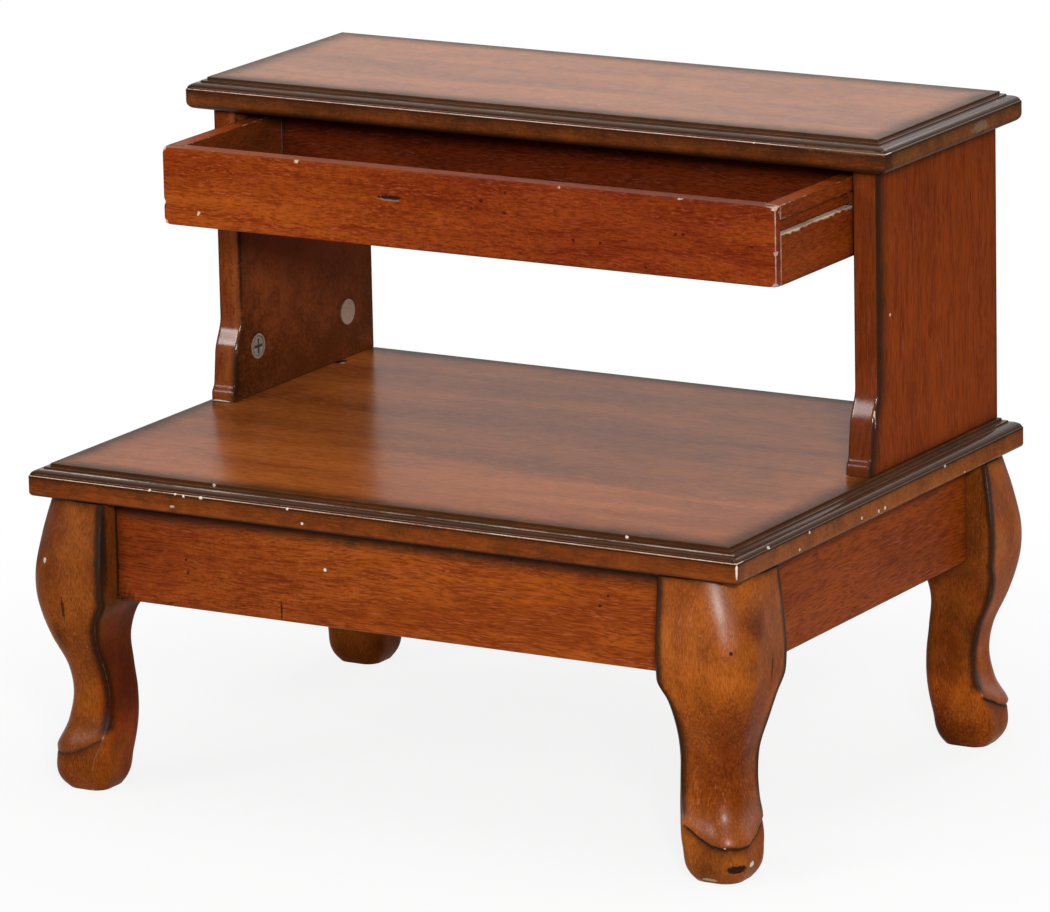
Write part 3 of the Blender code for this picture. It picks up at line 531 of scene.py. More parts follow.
@dataclass
class Skin:
    """A closed surface over rings of points, with painted values at each point."""

    rings: np.ndarray
    # Grime, and painted shade where a face lies in shade.
    grime_and_shade: np.ndarray
    # Wear, and on the treads' moulding a painted highlight.
    wear: np.ndarray
    chip: np.ndarray = field(init=False)
    sheen: np.ndarray = field(init=False)

    def __post_init__(self) -> None:
        """Starts with no chips and no polished places."""
        self.chip = np.zeros(self.rings.shape[:2])
        self.sheen = np.zeros(self.rings.shape[:2])

    def knock(self, nicks: Iterable[Nick]) -> "Skin":
        """Dents the surface at each nick and paints the dent bare.

        A point moves into the wood by depth times a plateau that falls off near the radius. The ends stay
        flat.

        Args:
            nicks: the chips.

        Returns:
            This skin.
        """
        for nick in nicks:
            apart = np.linalg.norm(self.rings - np.array(nick.centre), axis=-1)
            share = np.clip(1.8 * (1 - apart / nick.radius), 0, 1)
            share[[0, -1]] = 0
            self.rings = self.rings + share[..., None] * nick.depth * np.array(nick.inward)
            self.chip = np.maximum(self.chip, share)
        return self

    def build(self, name: str) -> bpy.types.Object:
        """Puts the rings into a mesh: a band of four-sided faces between rings, and a flat face at each end.

        Args:
            name: the piece's name.

        Returns:
            The object, at the origin.
        """
        levels, count = self.rings.shape[:2]
        index = np.arange(levels * count).reshape(levels, count)
        after = np.roll(index, -1, axis=1)
        quads = np.stack([index[:-1], after[:-1], after[1:], index[1:]], axis=-1).reshape(-1, 4)
        points = self.rings.reshape(-1, 3)
        ends = [index[0][::-1], index[-1]]
        corner = points[quads]
        volume = sum(self.cap_volume(points[end]) for end in ends)
        for second, third in ((1, 2), (2, 3)):
            volume += np.einsum("ij,ij->i", corner[:, 0], np.cross(corner[:, second], corner[:, third])).sum()
        if volume < 0:
            quads = quads[:, ::-1]
            ends = [end[::-1] for end in ends]
        mesh = bpy.data.meshes.new(name)
        mesh.from_pydata(points.tolist(), [], [*quads.tolist(), *(end.tolist() for end in ends)])
        for painted in ("grime_and_shade", "wear", "chip", "sheen"):
            values = mesh.attributes.new(painted, "FLOAT", "POINT")
            values.data.foreach_set("value", getattr(self, painted).astype(np.float32).ravel())
        mesh.shade_smooth()
        mesh.set_sharp_from_angle(angle=SHARP_ANGLE)
        obj = bpy.data.objects.new(name, mesh)
        bpy.context.scene.collection.objects.link(obj)
        return obj

    @staticmethod
    def cap_volume(ring: np.ndarray) -> float:
        """Six times the signed volume between the origin and a flat end, as a fan from its first point."""
        return float(np.einsum("j,ij->i", ring[0], np.cross(ring[1:-1], ring[2:])).sum())


@dataclass(frozen=True)
class Outline:
    """A closed outline: points, how each moves as it grows, and its distance from a ridge or a hollow."""

    points: np.ndarray
    growth: np.ndarray
    ridge: np.ndarray
    hollow: np.ndarray

    @classmethod
    def trace(cls, corners: Sequence[tuple[float, float]], rounding: float, spacing: float) -> "Outline":
        """Rounds the corners of an outline and spaces points along its edges.

        Each corner becomes a parabola that leaves its two edges at the rounding's distance. As the outline
        grows, a corner moves along its mitre, the sum of its edges' normals over one plus their product. A
        point of an edge moves by the mean of its two corners' moves, weighted by nearness.

        Args:
            corners: the corners, anticlockwise.
            rounding: the rounding of every corner.
            spacing: the distance between points on the edges.

        Returns:
            The outline.
        """
        corner = np.array(corners, float)
        edge = np.roll(corner, -1, axis=0) - corner
        length = np.linalg.norm(edge, axis=1)
        onward = edge / length[:, None]
        backward = np.roll(onward, 1, axis=0)
        turn = backward[:, 0] * onward[:, 1] - backward[:, 1] * onward[:, 0]
        aside = np.stack([onward[:, 1], -onward[:, 0]], axis=1)
        before = np.roll(aside, 1, axis=0)
        mitre = (aside + before) / (1 + (aside * before).sum(axis=1))[:, None]
        share = np.linspace(0, 1, ARC_POINTS)[:, None]
        runs, moves = [], []
        for here in range(len(corner)):
            start = corner[here] - backward[here] * rounding
            end = corner[here] + onward[here] * rounding
            bend = (1 - share) ** 2 * start + 2 * share * (1 - share) * corner[here] + share ** 2 * end
            straight = length[here] - 2 * rounding
            guard = min(GUARD, straight / 4)
            count = max(1, int(round((straight - 2 * guard) / spacing)))
            along = guard + (straight - 2 * guard) * np.linspace(0, 1, count + 1)[:, None]
            near = along / straight
            runs += [bend, end + onward[here] * along]
            moves.append(np.repeat(mitre[here:here + 1], len(share), axis=0))
            moves.append((1 - near) * mitre[here] + near * mitre[(here + 1) % len(corner)])
        points = np.concatenate(runs)
        apart = np.linalg.norm(points[:, None] - corner[None], axis=2)
        ridge = np.where(turn > 0, apart, 1.0).min(axis=1)
        hollow = np.where(turn < 0, apart, 1.0).min(axis=1)
        return cls(points, np.concatenate(moves), ridge, hollow)

    def extrude(self, axis: int, start: float, end: float, ease: float, spacing: float,
                band: float = 0.004) -> Skin:
        """Carries the outline along an axis, with rounded ends.

        At the angle a of an end's quarter round, the outline is drawn in by ease (1 - sin a) and lies
        ease (1 - cos a) from the end. Grime fades over the band from ridges and hollows, wear much sooner.

        Args:
            axis: the axis, 0 to 2; the outline lies in the other two.
            start: where it starts.
            end: where it ends.
            ease: radius of the end's rounding.
            spacing: the distance between rings.
            band: how far the darkening reaches from an edge.

        Returns:
            The skin.
        """
        angle = np.linspace(0, QUARTER_TURN, ARC_POINTS)
        inset_end = np.concatenate([[ease + 0.0006, ease + 0.0003], ease * (1 - np.sin(angle))])
        along_end = np.concatenate([[0.0, 0.0], ease * (1 - np.cos(angle))])
        straight = end - start - 2 * ease
        count = max(2, int(round((straight - 2 * GUARD) / spacing)))
        middle = start + ease + np.linspace(GUARD, straight - GUARD, count + 1)
        level = np.concatenate([start + along_end, middle, end - along_end[::-1]])
        inset = np.concatenate([inset_end, np.zeros(count + 1), inset_end[::-1]])
        flat = self.points[None] - inset[:, None, None] * self.growth[None]
        height = np.broadcast_to(level[:, None], flat.shape[:2])
        rings = np.insert(flat, axis, height, axis=-1)
        from_end = np.maximum(np.minimum(level - start, end - level), inset - ease)
        ridge = np.minimum(self.ridge[None], from_end[:, None])
        hollow = np.broadcast_to(self.hollow[None], ridge.shape)
        grime_and_shade = np.maximum(0.75 * np.exp(-ridge / band), bell(hollow, HOLLOW_DIRT, 1))
        wear = bell(ridge, RIDGE_WEAR) * (1 - bell(hollow, 0.001, 1))
        return Skin(rings, grime_and_shade, wear)


def bar(node: str, axis: int, rounding: float, gap: float, ease: float, ring_gap: float,
        band: float = 0.004) -> Skin:
    """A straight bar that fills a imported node's box: its section carried along its length.

    Args:
        node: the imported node.
        axis: the axis of its length.
        rounding: rounding of its long edges.
        gap: the distance between points round the section.
        ease: rounding of its ends.
        ring_gap: the distance between rings.
        band: how far the darkening reaches from an edge.

    Returns:
        The skin.
    """
    low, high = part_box(node)
    a, b = (other for other in range(3) if other != axis)
    corners = [(low[a], low[b]), (high[a], low[b]), (high[a], high[b]), (low[a], high[b])]
    return Outline.trace(corners, rounding, gap).extrude(axis, low[axis], high[axis], ease, ring_gap, band)


def rounded_box_ring(half: np.ndarray, radius: np.ndarray, counts: tuple[int, int],
                     arc_count: int) -> np.ndarray:
    """Rings round a rectangle with rounded corners, anticlockwise from the +X side.

    Each corner is an arc of its radius about a centre that lies the radius in from both sides, and the sides
    between two arcs are cut into equal steps.

    Args:
        half: half sizes in X and Y, one row a ring.
        radius: corner radius, one a ring.
        counts: points on a side along X and on one along Y.
        arc_count: points on an arc.

    Returns:
        Points in X and Y, rings by points by 2.
    """
    signs = np.array([(1, 1), (-1, 1), (-1, -1), (1, -1)])
    angle = np.linspace(0, QUARTER_TURN, arc_count)
    arcs = []
    for turn, sign in enumerate(signs):
        swing = angle + turn * QUARTER_TURN
        centre = sign * (half - radius[:, None])
        spoke = np.stack([np.cos(swing), np.sin(swing)], axis=-1)
        arcs.append(centre[:, None] + radius[:, None, None] * spoke[None])
    rows = []
    for turn in range(4):
        share = np.linspace(0, 1, counts[turn % 2] + 2)[1:-1, None]
        rows += [arcs[turn], arcs[turn][:, -1:] * (1 - share) + arcs[(turn + 1) % 4][:, :1] * share]
    return np.concatenate(rows, axis=1)


def dress(obj: bpy.types.Object, material: bpy.types.Material, body: str, nodes: Sequence[str]) -> None:
    """Gives a new piece its material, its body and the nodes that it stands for.

    Args:
        obj: the piece.
        material: its finish.
        body: the body that it moves with.
        nodes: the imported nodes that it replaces.
    """
    obj.data.materials.append(material)
    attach(obj, body)
    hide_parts(*nodes)
    LOG.info("%s rides on %s for %s", obj.name, body, ", ".join(nodes))


@dataclass(frozen=True)
class Board:
    """One tread board: its size and place, and how dark and worn its edge is."""

    depth: float
    centre_y: float
    top: float
    nose_round: float
    nose_dark: float
    front_dark: float
    polish: float


@dataclass
class Treads:
    """The two tread boards with their moulded edge."""

    reach: float = 0.0099
    first_drop: float = 0.0017
    ledge: float = 0.0036
    second_drop: float = 0.0012
    ovolo_drop: float = 0.0030
    arris: float = 0.0006
    ease: float = 0.00035
    corner: float = 0.0020
    least_corner: float = 0.0004
    spacing: float = 0.0025
    edge_dark: float = 0.84
    edge_fade: float = 0.0140
    lower: Board = Board(LOWER_DEPTH, 0.0, LOWER_TOP, 0.0022, 0.08, 0.15, 0.85)
    upper: Board = Board(UPPER_DEPTH, LOWER_DEPTH / 2 - UPPER_DEPTH / 2, UPPER_TOP, 0.0045, 0.20, 0.14, 0.62)

    def moulding(self, nose_round: float, polish: float) -> np.ndarray:
        """The moulded edge from the flat's edge to the underside.

        Square steps have small rounded corners. The ovolo is a quarter ellipse, and the nose ends in a
        quarter circle. Hollows are dark and ridges are worn; the pale line along the top of the ovolo and the
        pale arris of the nose are worn and also painted highlights.

        Args:
            nose_round: radius of the nose's lower edge.
            polish: how strong the pale line along the top of the ovolo is, worn and painted highlight, from 0
                to 1.

        Returns:
            Rows of reach, drop, grime, wear with painted highlight, and sheen.
        """
        ease, step, reach, arris = self.ease, self.first_drop, self.reach, self.arris
        ledge = self.ledge
        ovolo_top = step + self.second_drop
        nose_top = ovolo_top + self.ovolo_drop
        turn = np.linspace(0, QUARTER_TURN, 9)
        head = np.array([
            (0.0, 0.0, 0.62, 0.15, 0.0),
            (ease * 0.7, ease * 0.3, 0.7, 0.30, 0.0),
            (ease, ease, 0.9, 0.1, 0.0),
            (ease, step - ease, 1.0, 0.0, 0.0),
            (ease * 1.3, step - ease * 0.3, 0.95, 0.0, 0.1),
            (2 * ease, step, 0.85, 0.0, 0.4),
            (ledge - 3.6 * ease, step + 0.0001, 0.72, 0.05, 0.4),
            (ledge - 2 * ease, step + 0.0001, 0.75, 0.10, 0.4),
            (ledge - 1.3 * ease, step + ease * 0.5, 0.85, 0.05, 0.2),
            (ledge - ease, step + 1.4 * ease, 1.0, 0.0, 0.0),
            (ledge - ease, ovolo_top - ease, 1.0, 0.0, 0.0),
            (ledge - ease * 0.5, ovolo_top - ease * 0.2, 1.0, 0.0, 0.3)])
        # The ovolo's wear is a pale line along its top: wear and a painted highlight.
        ovolo = np.stack([
            ledge + (reach - arris - ledge) * np.sin(turn), ovolo_top + self.ovolo_drop * (1 - np.cos(turn)),
            np.linspace(0.80, 1.0, 9), polish * bell(turn - 0.2, 0.28), np.linspace(0.60, 0.10, 9)], axis=1)
        # The nose's arris rows are worn pale, which also paints the highlight along it.
        nose = np.array([
            (reach - arris * 0.7, nose_top + arris * 0.1, 0.35, 0.85, 0.4),
            (reach - arris * 0.25, nose_top + arris * 0.45, 0.1, 1.0, 0.4),
            (reach, nose_top + arris * 0.9, 0.9, 0.12, 0.0),
            (reach, nose_top + 0.0010, 0.85, 0.0, 0.0),
            (reach, nose_top + 0.0018, 0.50, 0.05, 0.0),
            (reach, nose_top + 0.0035, 0.40, 0.05, 0.0),
            (reach, TREAD_THICKNESS - nose_round - 0.0006, 0.32, 0.03, 0.0)])
        under = np.stack([
            reach - nose_round * (1 - np.cos(turn)), TREAD_THICKNESS - nose_round * (1 - np.sin(turn)),
            0.34 + 0.64 * np.sin(turn) ** 2, 0.10 * np.cos(turn), np.zeros(9)], axis=1)
        return np.concatenate([head, ovolo, nose, under])

    def skin(self, board: Board) -> Skin:
        """A board: rings from the middle of the flat out over the moulding to the underside.

        Args:
            board: which board.

        Returns:
            The skin.
        """
        flat = np.array([TREAD_WIDTH / 2 - self.reach, board.depth / 2 - self.reach])
        inset = np.array([
            0.0003, 0.0008, 0.0018, 0.0032, 0.005, 0.0075, 0.0105, 0.014, 0.018, 0.024, 0.034, 0.050, 0.0735])
        inset = np.concatenate([inset, np.arange(0.1, flat[1] - 0.001, 0.03)])[::-1]
        top = np.zeros((len(inset), 5))
        top[:, 0] = -inset
        top[:, 2] = self.edge_dark * bell(inset, self.edge_fade, 1.4)
        last = [(self.reach - board.nose_round - 0.004, TREAD_THICKNESS, 0.4, 0.0, 0.0)]
        edge = self.moulding(board.nose_round, board.polish)
        out, drop, grime_and_shade, wear, sheen = np.concatenate([top, edge, last]).T
        least = self.least_corner
        radius = np.maximum(least + (self.corner - least) * np.clip(out, 0, None) / self.reach, least)
        sides = (int(TREAD_WIDTH / self.spacing), int(board.depth / self.spacing))
        ring = rounded_box_ring(flat + out[:, None], radius, sides, 7)
        height = np.broadcast_to((board.top - drop)[:, None], ring.shape[:2])
        rings = np.concatenate([ring, height[..., None]], axis=-1) + np.array([0.0, board.centre_y, 0.0])
        front = np.clip((-ring[..., 1] - flat[1] - 0.0005) / 0.002, 0, 1)
        wear = wear[:, None]
        nose = (out[:, None] > self.ledge) * (wear < 0.5)
        ridge = (wear >= 0.5) * (1 - front)
        # Darker nose faces, darker still on the front, where this is painted shade; ridges away from the
        # front are darkened too.
        shaded = nose * (board.nose_dark + board.front_dark * front) + 0.75 * ridge
        dirt_and_shade = np.clip(grime_and_shade[:, None] + shaded, 0, 1)
        # The pale worn arris is strongest on the front, where it also paints the highlight along the nose.
        made = Skin(rings, dirt_and_shade, wear * np.where(wear > 0.14, 0.35 + 0.65 * front, 1.0))
        made.sheen = np.broadcast_to(sheen[:, None], dirt_and_shade.shape)
        return made

    def lower_marks(self) -> tuple[Mark, ...]:
        """The lower tread's chips, its dent by the left panel and its darker front.

        Returns:
            The marks, in the order in which they are laid on.
        """
        chips = Mark.several(CREAM, (
            (0.2277, -0.1718, 0.1800, 0.0008, 0.0009, 0.0048, 0.95),
            (-0.1119, -0.1723, 0.1838, 0.0014, 0.0010, 0.0009, 0.9),
            (-0.1289, -0.1723, 0.1840, 0.0010, 0.0010, 0.0008, 0.9),
            (-0.1233, -0.1723, 0.1834, 0.0009, 0.0010, 0.0009, 0.9),
            (-0.0552, -0.1723, 0.1838, 0.0010, 0.0010, 0.0008, 0.9),
            (0.2274, -0.1355, 0.1848, 0.0010, 0.0014, 0.0009, 0.9),
            (0.2280, -0.0281, 0.1764, 0.0010, 0.0012, 0.0011, 0.9),
            (0.2280, 0.0725, 0.1832, 0.0010, 0.0013, 0.0008, 0.9)))
        dent = Mark((-0.1995, 0.1215, LOWER_TOP), (0.0024, 0.0050, 0.0020), (0.012, 0.006, 0.004))
        flecks = Mark.several(CREAM, (
            (-0.1970, 0.1188, LOWER_TOP, 0.0011, 0.0018, 0.0010, 0.6),
            (0.2280, -0.0894, 0.1826, 0.0010, 0.0011, 0.0010, 0.9),
            (0.2280, -0.1011, 0.1757, 0.0010, 0.0010, 0.0010, 0.7),
            (0.2280, -0.0081, 0.1757, 0.0010, 0.0011, 0.0010, 0.75),
            (0.2280, -0.0006, 0.1758, 0.0010, 0.0012, 0.0010, 0.9),
            (-0.1460, -0.1719, 0.1844, 0.0011, 0.0010, 0.0008, 0.9),
            (-0.1089, -0.1630, 0.1894, 0.0011, 0.0010, 0.0009, 0.6),
            (-0.1312, -0.1725, 0.1767, 0.0018, 0.0010, 0.0010, 0.45),
            (-0.0458, -0.1725, 0.1764, 0.0010, 0.0010, 0.0010, 0.8),
            (0.1554, -0.1630, 0.1891, 0.0012, 0.0010, 0.0010, 0.9)))
        nose = Mark.tint((0.0, -LOWER_DEPTH / 2, 0.1783), (1.5000, 0.0040, 0.0150), (0.97, 0.73, 0.54))
        front = Mark.tint((-0.0365, -0.1199, LOWER_TOP), (0.2000, 0.0550, 0.0200), (0.86, 0.82, 0.80))
        return (nose, *chips, dent, *flecks, front)

    def upper_marks(self) -> tuple[Mark, ...]:
        """The upper tread's redder nose, its scuff on the right and the dull end of its pale arris line,
        which is worn and also a painted highlight.
        """
        front = LOWER_DEPTH / 2 - UPPER_DEPTH
        return (
            Mark.tint((0.0, front, 0.3690), (1.5000, 0.0040, 0.0150), (1.0, 0.80, 0.78)),
            Mark((0.2280, 0.1187, 0.3690), (0.0030, 0.0095, 0.0042), (0.30, 0.21, 0.14), 0.55),
            Mark((0.2050, front, 0.3748), (0.0560, 0.0030, 0.0018), (0.150, 0.080, 0.042), 0.75, 0.3))

    def build(self) -> None:
        """Makes and dresses both boards."""
        plain = StainedWood(
            "lower_tread_lacquer", (0.470, 0.130, 0.023), (0.275, 0.066, 0.012), Grain.ALONG_X,
            # The pale bare colour also paints the highlight along the nose's arris.
            (0.31, 0.07, 0.0), rough=0.24, specular=0.032, coat=0.06, bare=(0.88, 0.76, 0.65), figure=0.6,
            pore_length=0.008, pore_width=0.0011, pore_depth=0.40, worm_share=0.03, clouds=0.35,
            marks=self.lower_marks())
        polished = replace(
            plain, name="upper_tread_lacquer", heart=(0.440, 0.126, 0.020), shade=(0.250, 0.064, 0.010),
            shift=(0.9, 0.37, 0.2), specular=0.055, coat=0.17, marks=self.upper_marks())
        lower = self.skin(self.lower).build("lower_tread")
        dress(lower, plain.make(), STOOL, ["lower_step_board"])
        upper = self.skin(self.upper).build("upper_tread")
        dress(upper, polished.make(), STOOL, ["upper_step_board"])


@dataclass
class SidePanels:
    """The two scrolled side panels and the rail between them."""

    scroll_top: float = 0.048
    belly: float = 0.026
    neck: float = 0.010
    toe: float = 0.0045
    swell: float = 0.0070
    lean: float = 0.0018
    step: float = 0.0028
    ease: float = 0.0016
    bottom: float = LOWER_TOP + SEAT
    top: float = UPPER_TOP - TREAD_THICKNESS - SEAT

    def scroll(self, height: np.ndarray) -> np.ndarray:
        """How far the front edge comes forward at a height above the lower tread.

        An S-curve from the scroll's top to its belly, a straight lean down to the neck, and a second small
        S-curve out to the toe.

        Args:
            height: heights above the tread.

        Returns:
            The reach to the front.
        """
        def bend(low: float, high: float) -> np.ndarray:
            """A half wave from 1 at the low height to 0 at the high one."""
            share = np.clip((high - height) / (high - low), 0, 1)
            return (1 - np.cos(math.pi * share)) / 2

        lean = np.clip((self.belly - height) / (self.belly - self.neck), 0, 1)
        swell = self.swell * bend(self.belly, self.scroll_top)
        return swell + self.lean * lean + self.step * bend(self.toe, self.neck)

    def panel(self, sign: int) -> Skin:
        """A panel: a rounded slab carried upwards, with its front drawn forward by the scroll.

        Args:
            sign: -1 for the left panel, 1 for the right one.

        Returns:
            The skin.
        """
        low, high = sorted((sign * PANEL_OUTER, sign * PANEL_INNER))
        corners = [(low, PANEL_FRONT), (high, PANEL_FRONT), (high, PANEL_BACK), (low, PANEL_BACK)]
        slab = Outline.trace(corners, self.ease, 0.003)
        skin = slab.extrude(2, self.bottom, self.top, SEAT, 0.0016, band=0.0045)
        height = skin.rings[..., 2] - self.bottom
        share = np.clip((PANEL_BACK - skin.rings[..., 1]) / (PANEL_BACK - PANEL_FRONT), 0, 1)
        forward = self.scroll(height) * share
        skin.rings[..., 1] -= forward
        depth = skin.rings[..., 1]
        front = bell(np.clip(depth - PANEL_FRONT, 0, None), 0.0045, 1)
        rub = bell(height - 0.034, 0.012) + 0.25
        skin.wear *= np.clip(front, 0.1, 1) * np.clip(rub, 0, 1)
        reach = np.clip(depth - PANEL_FRONT + forward, 0, None)
        # Painted shade just under the upper tread.
        under = 0.75 * bell(self.top - skin.rings[..., 2], 0.008, 1)
        back = 0.45 * bell(PANEL_BACK - depth, 0.010, 1)
        worked = (0.42 if sign < 0 else 0.49) + 0.08 * bell(height, 0.030, 4)
        face = np.where(reach < 0.0002, worked, 0.95 * bell(reach, 0.0120, 1.5))
        # Painted shade on the inner faces, deeper towards the bottom; all faces also darken in a narrow band
        # at the bottom.
        inside = 0.32 * (np.abs(skin.rings[..., 0]) < PANEL_INNER + 0.0004)
        foot = np.maximum(0.5 * bell(height, 0.006, 1), 1.85 * inside * bell(height, 0.040))
        skin.grime_and_shade = np.max([0.8 * skin.grime_and_shade, under, back, face, inside, foot], axis=0)
        polish = 0.85 * bell(height - 0.036, 0.013) + 0.42 * bell(height - 0.006, 0.006)
        skin.sheen = (reach < 0.0014) * polish
        return skin

    def marks(self) -> tuple[Mark, ...]:
        """Chips on the scrolled feet, and the left panel's shaded inner face, lighter front and dark edge.

        Returns:
            The marks, in the order in which they are laid on.
        """
        cream, edge = (0.78, 0.68, 0.56), (0.030, 0.014, 0.006)
        inner, middle = -PANEL_INNER, -0.2087
        return (
            Mark((0.2158, 0.0112, 0.2215), (0.0005, 0.0010, 0.0085), cream, 0.75),
            Mark((-0.2014, 0.0097, 0.2225), (0.0007, 0.0014, 0.0050), cream, 0.75),
            Mark((inner, 0.0900, 0.2700), (0.0060, 0.6000, 0.6000), (0.345, 0.088, 0.023), 0.64),
            Mark.tint((inner, 0.0900, 0.1850), (0.0060, 0.3000, 0.1000), (0.36, 0.36, 0.30)),
            Mark.tint((inner, 0.0000, 0.2300), (0.0060, 0.0600, 0.2000), (0.60, 0.62, 0.60)),
            Mark((middle, 0.0060, 0.2900), (0.0086, 0.0140, 0.1300), (0.250, 0.075, 0.014), 0.60, 0.3),
            Mark((-0.2014, 0.0158, 0.3050), (0.0014, 0.0022, 0.0900), edge, 0.80, 0.5),
            Mark((-0.2014, 0.0075, 0.2060), (0.0014, 0.0045, 0.0180), edge, 0.80, 0.5),
            Mark((middle, 0.0032, self.bottom), (0.0078, 0.0030, 0.0009), cream, 0.85),
            Mark((0.2162, 0.0301, 0.2780), (0.0010, 0.0009, 0.0010), cream))

    def build(self) -> None:
        """Makes and dresses the panels and the rail."""
        wood = StainedWood(
            "panel_lacquer", (0.325, 0.056, 0.007), (0.200, 0.030, 0.004), Grain.UPRIGHT, (0.2, 0.4, 0.1),
            rough=0.40, specular=0.025, figure=0.25, pore_length=0.014, pore_depth=0.45, worm_share=0.02,
            clouds=0.12, marks=self.marks()).make()
        for side, sign in SIDES.items():
            panel = self.panel(sign).build(f"{side}_scrolled_panel")
            dress(panel, wood, STOOL, [f"{side}_side_panel"])
        level = StainedWood(
            "rail_lacquer", (0.300, 0.050, 0.007), (0.190, 0.030, 0.004), Grain.ALONG_X, (0.6, 0.2, 0.3),
            rough=0.42).make()
        rail = bar("back_rail", 0, 0.0009, 0.004, 0.0004, 0.006).build("rail_behind_drawer")
        dress(rail, level, STOOL, ["back_rail"])


@dataclass
class DrawerBox:
    """The drawer: front, grooved sides, back and bottom."""

    lip: float = 0.006
    groove_drop: float = 0.008
    groove_height: float = 0.0084
    groove_depth: float = 0.0049
    slot_rise: float = 0.006
    slot_height: float = 0.0046
    slot_depth: float = 0.004
    wear_knots: int = 45
    wear_seed: int = 5

    def front(self) -> Skin:
        """The front board: its plan with a rabbet at each end, carried upwards and chipped at its edges.

        Returns:
            The skin.
        """
        low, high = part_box("drawer_front")
        half, inner = high[0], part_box("drawer_right_side")[0][0] - SEAT
        face, lip, back = low[1], low[1] + self.lip, high[1]
        bottom, top = low[2], high[2]
        corners = [(-half, face), (half, face), (half, lip), (inner, lip), (inner, back), (-inner, back),
                   (-inner, lip), (-half, lip)]
        skin = Outline.trace(corners, 0.0012, 0.002).extrude(2, bottom, top, 0.0009, 0.0012, band=0.0022)
        end = np.clip((np.abs(skin.rings[..., 0]) - half + 0.008) / 0.008, 0, 1)
        skin.grime_and_shade *= 0.55
        skin.wear *= 0.42 + end * np.where(skin.rings[..., 0] > 0, 1.3, 0.6)
        down_and_in = (0.0, 0.6, -0.6)
        return skin.knock((
            Nick((-half, face, top), 0.0034, (0.6, 0.6, -0.6)),
            Nick((-half, face, bottom), 0.0040, (0.6, 0.6, 0.6)),
            Nick((-half, face, bottom + 0.0130), 0.0022, (0.8, 0.4, 0.0)),
            Nick((half, face, top), 0.0032, (-0.6, 0.6, -0.6)),
            Nick((half, face, bottom), 0.0036, (-0.6, 0.6, 0.6)),
            Nick((half, lip, top - 0.004), 0.0026, (-0.8, 0.0, 0.0)),
            Nick((half, face, bottom + 0.0190), 0.0024, (-0.6, 0.6, 0.0)),
            Nick((-0.1743, face, bottom + 0.0085), 0.0017, (0.0, 0.7, 0.0), 0.0003),
            Nick((-0.1083, face, top), 0.0024, down_and_in),
            Nick((0.0620, face, top), 0.0018, down_and_in),
            Nick((0.1390, face, top), 0.0018, down_and_in)))

    def side(self, name: str, sign: int) -> Skin:
        """A side: its section, with the runner's groove outside and the bottom's groove inside, carried back.

        Args:
            name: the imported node.
            sign: -1 for the left side, 1 for the right one.

        Returns:
            The skin.
        """
        low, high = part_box(name)
        inner, outer = sorted((abs(low[0]), abs(high[0])))
        floor, top = low[2], high[2]
        groove_top = top - self.groove_drop
        groove_low = groove_top - self.groove_height
        groove = outer - self.groove_depth
        slot_low, slot_high = floor + self.slot_rise, floor + self.slot_rise + self.slot_height
        slot = inner + self.slot_depth
        corners = [
            (inner, floor), (outer, floor), (outer, groove_low), (groove, groove_low), (groove, groove_top),
            (outer, groove_top), (outer, top), (inner, top), (inner, slot_high), (slot, slot_high),
            (slot, slot_low), (inner, slot_low)]
        if sign < 0:
            corners = [(-x, z) for x, z in reversed(corners)]
        skin = Outline.trace(corners, 0.0006, 0.002).extrude(1, low[1], high[1], 0.0005, 0.002, band=0.003)
        across, along, height = np.abs(skin.rings[..., 0]), skin.rings[..., 1], skin.rings[..., 2]
        knots = np.linspace(low[1], high[1], self.wear_knots)
        chance = np.random.default_rng(self.wear_seed)
        wander, width, scuffed = (
            np.interp(along, knots, chance.uniform(least, most, self.wear_knots))
            for least, most in ((-0.0006, 0.0006), (0.0006, 0.0019), (0.2, 0.95)))
        rubbed = 0.98 * bell(height - groove_low - wander, width) * (across > groove + 0.0005)
        # Painted shade on the inner faces, inside the drawer.
        skin.grime_and_shade = np.maximum(0.6 * skin.grime_and_shade, 0.55 * (across < inner + 0.0003))
        skin.wear = np.maximum(scuffed * skin.wear, rubbed)
        return skin

    def front_marks(self) -> tuple[Mark, ...]:
        """The front's redder right half, its slit with a scrape below it, and its pin holes.

        Returns:
            The marks, in the order in which they are laid on.
        """
        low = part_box("drawer_front")[0]
        face, bottom = low[1], low[2]
        holes = (
            (0.0122, 0.3438), (0.0277, 0.3496), (0.0710, 0.3268), (0.0880, 0.3269), (0.1165, 0.3157),
            (0.1355, 0.3359), (0.1403, 0.3365), (0.1831, 0.3332), (0.0271, 0.3383), (0.0060, 0.3390))
        red_hole = (0.040, 0.006, 0.003)
        return (
            Mark.tint((0.090, face, bottom + 0.020), (0.290, 0.05, 0.12), (0.62, 0.47, 0.74)),
            Mark((-0.0475, face, bottom + 0.0276), (0.0082, 0.004, 0.0009), (0.25, 0.17, 0.14), 0.75),
            Mark((-0.0470, face, bottom + 0.0288), (0.0094, 0.004, 0.0013), (0.010, 0.005, 0.004)),
            *(Mark((x, face, z), (0.0011, 0.003, 0.0010), red_hole, 0.8) for x, z in holes))

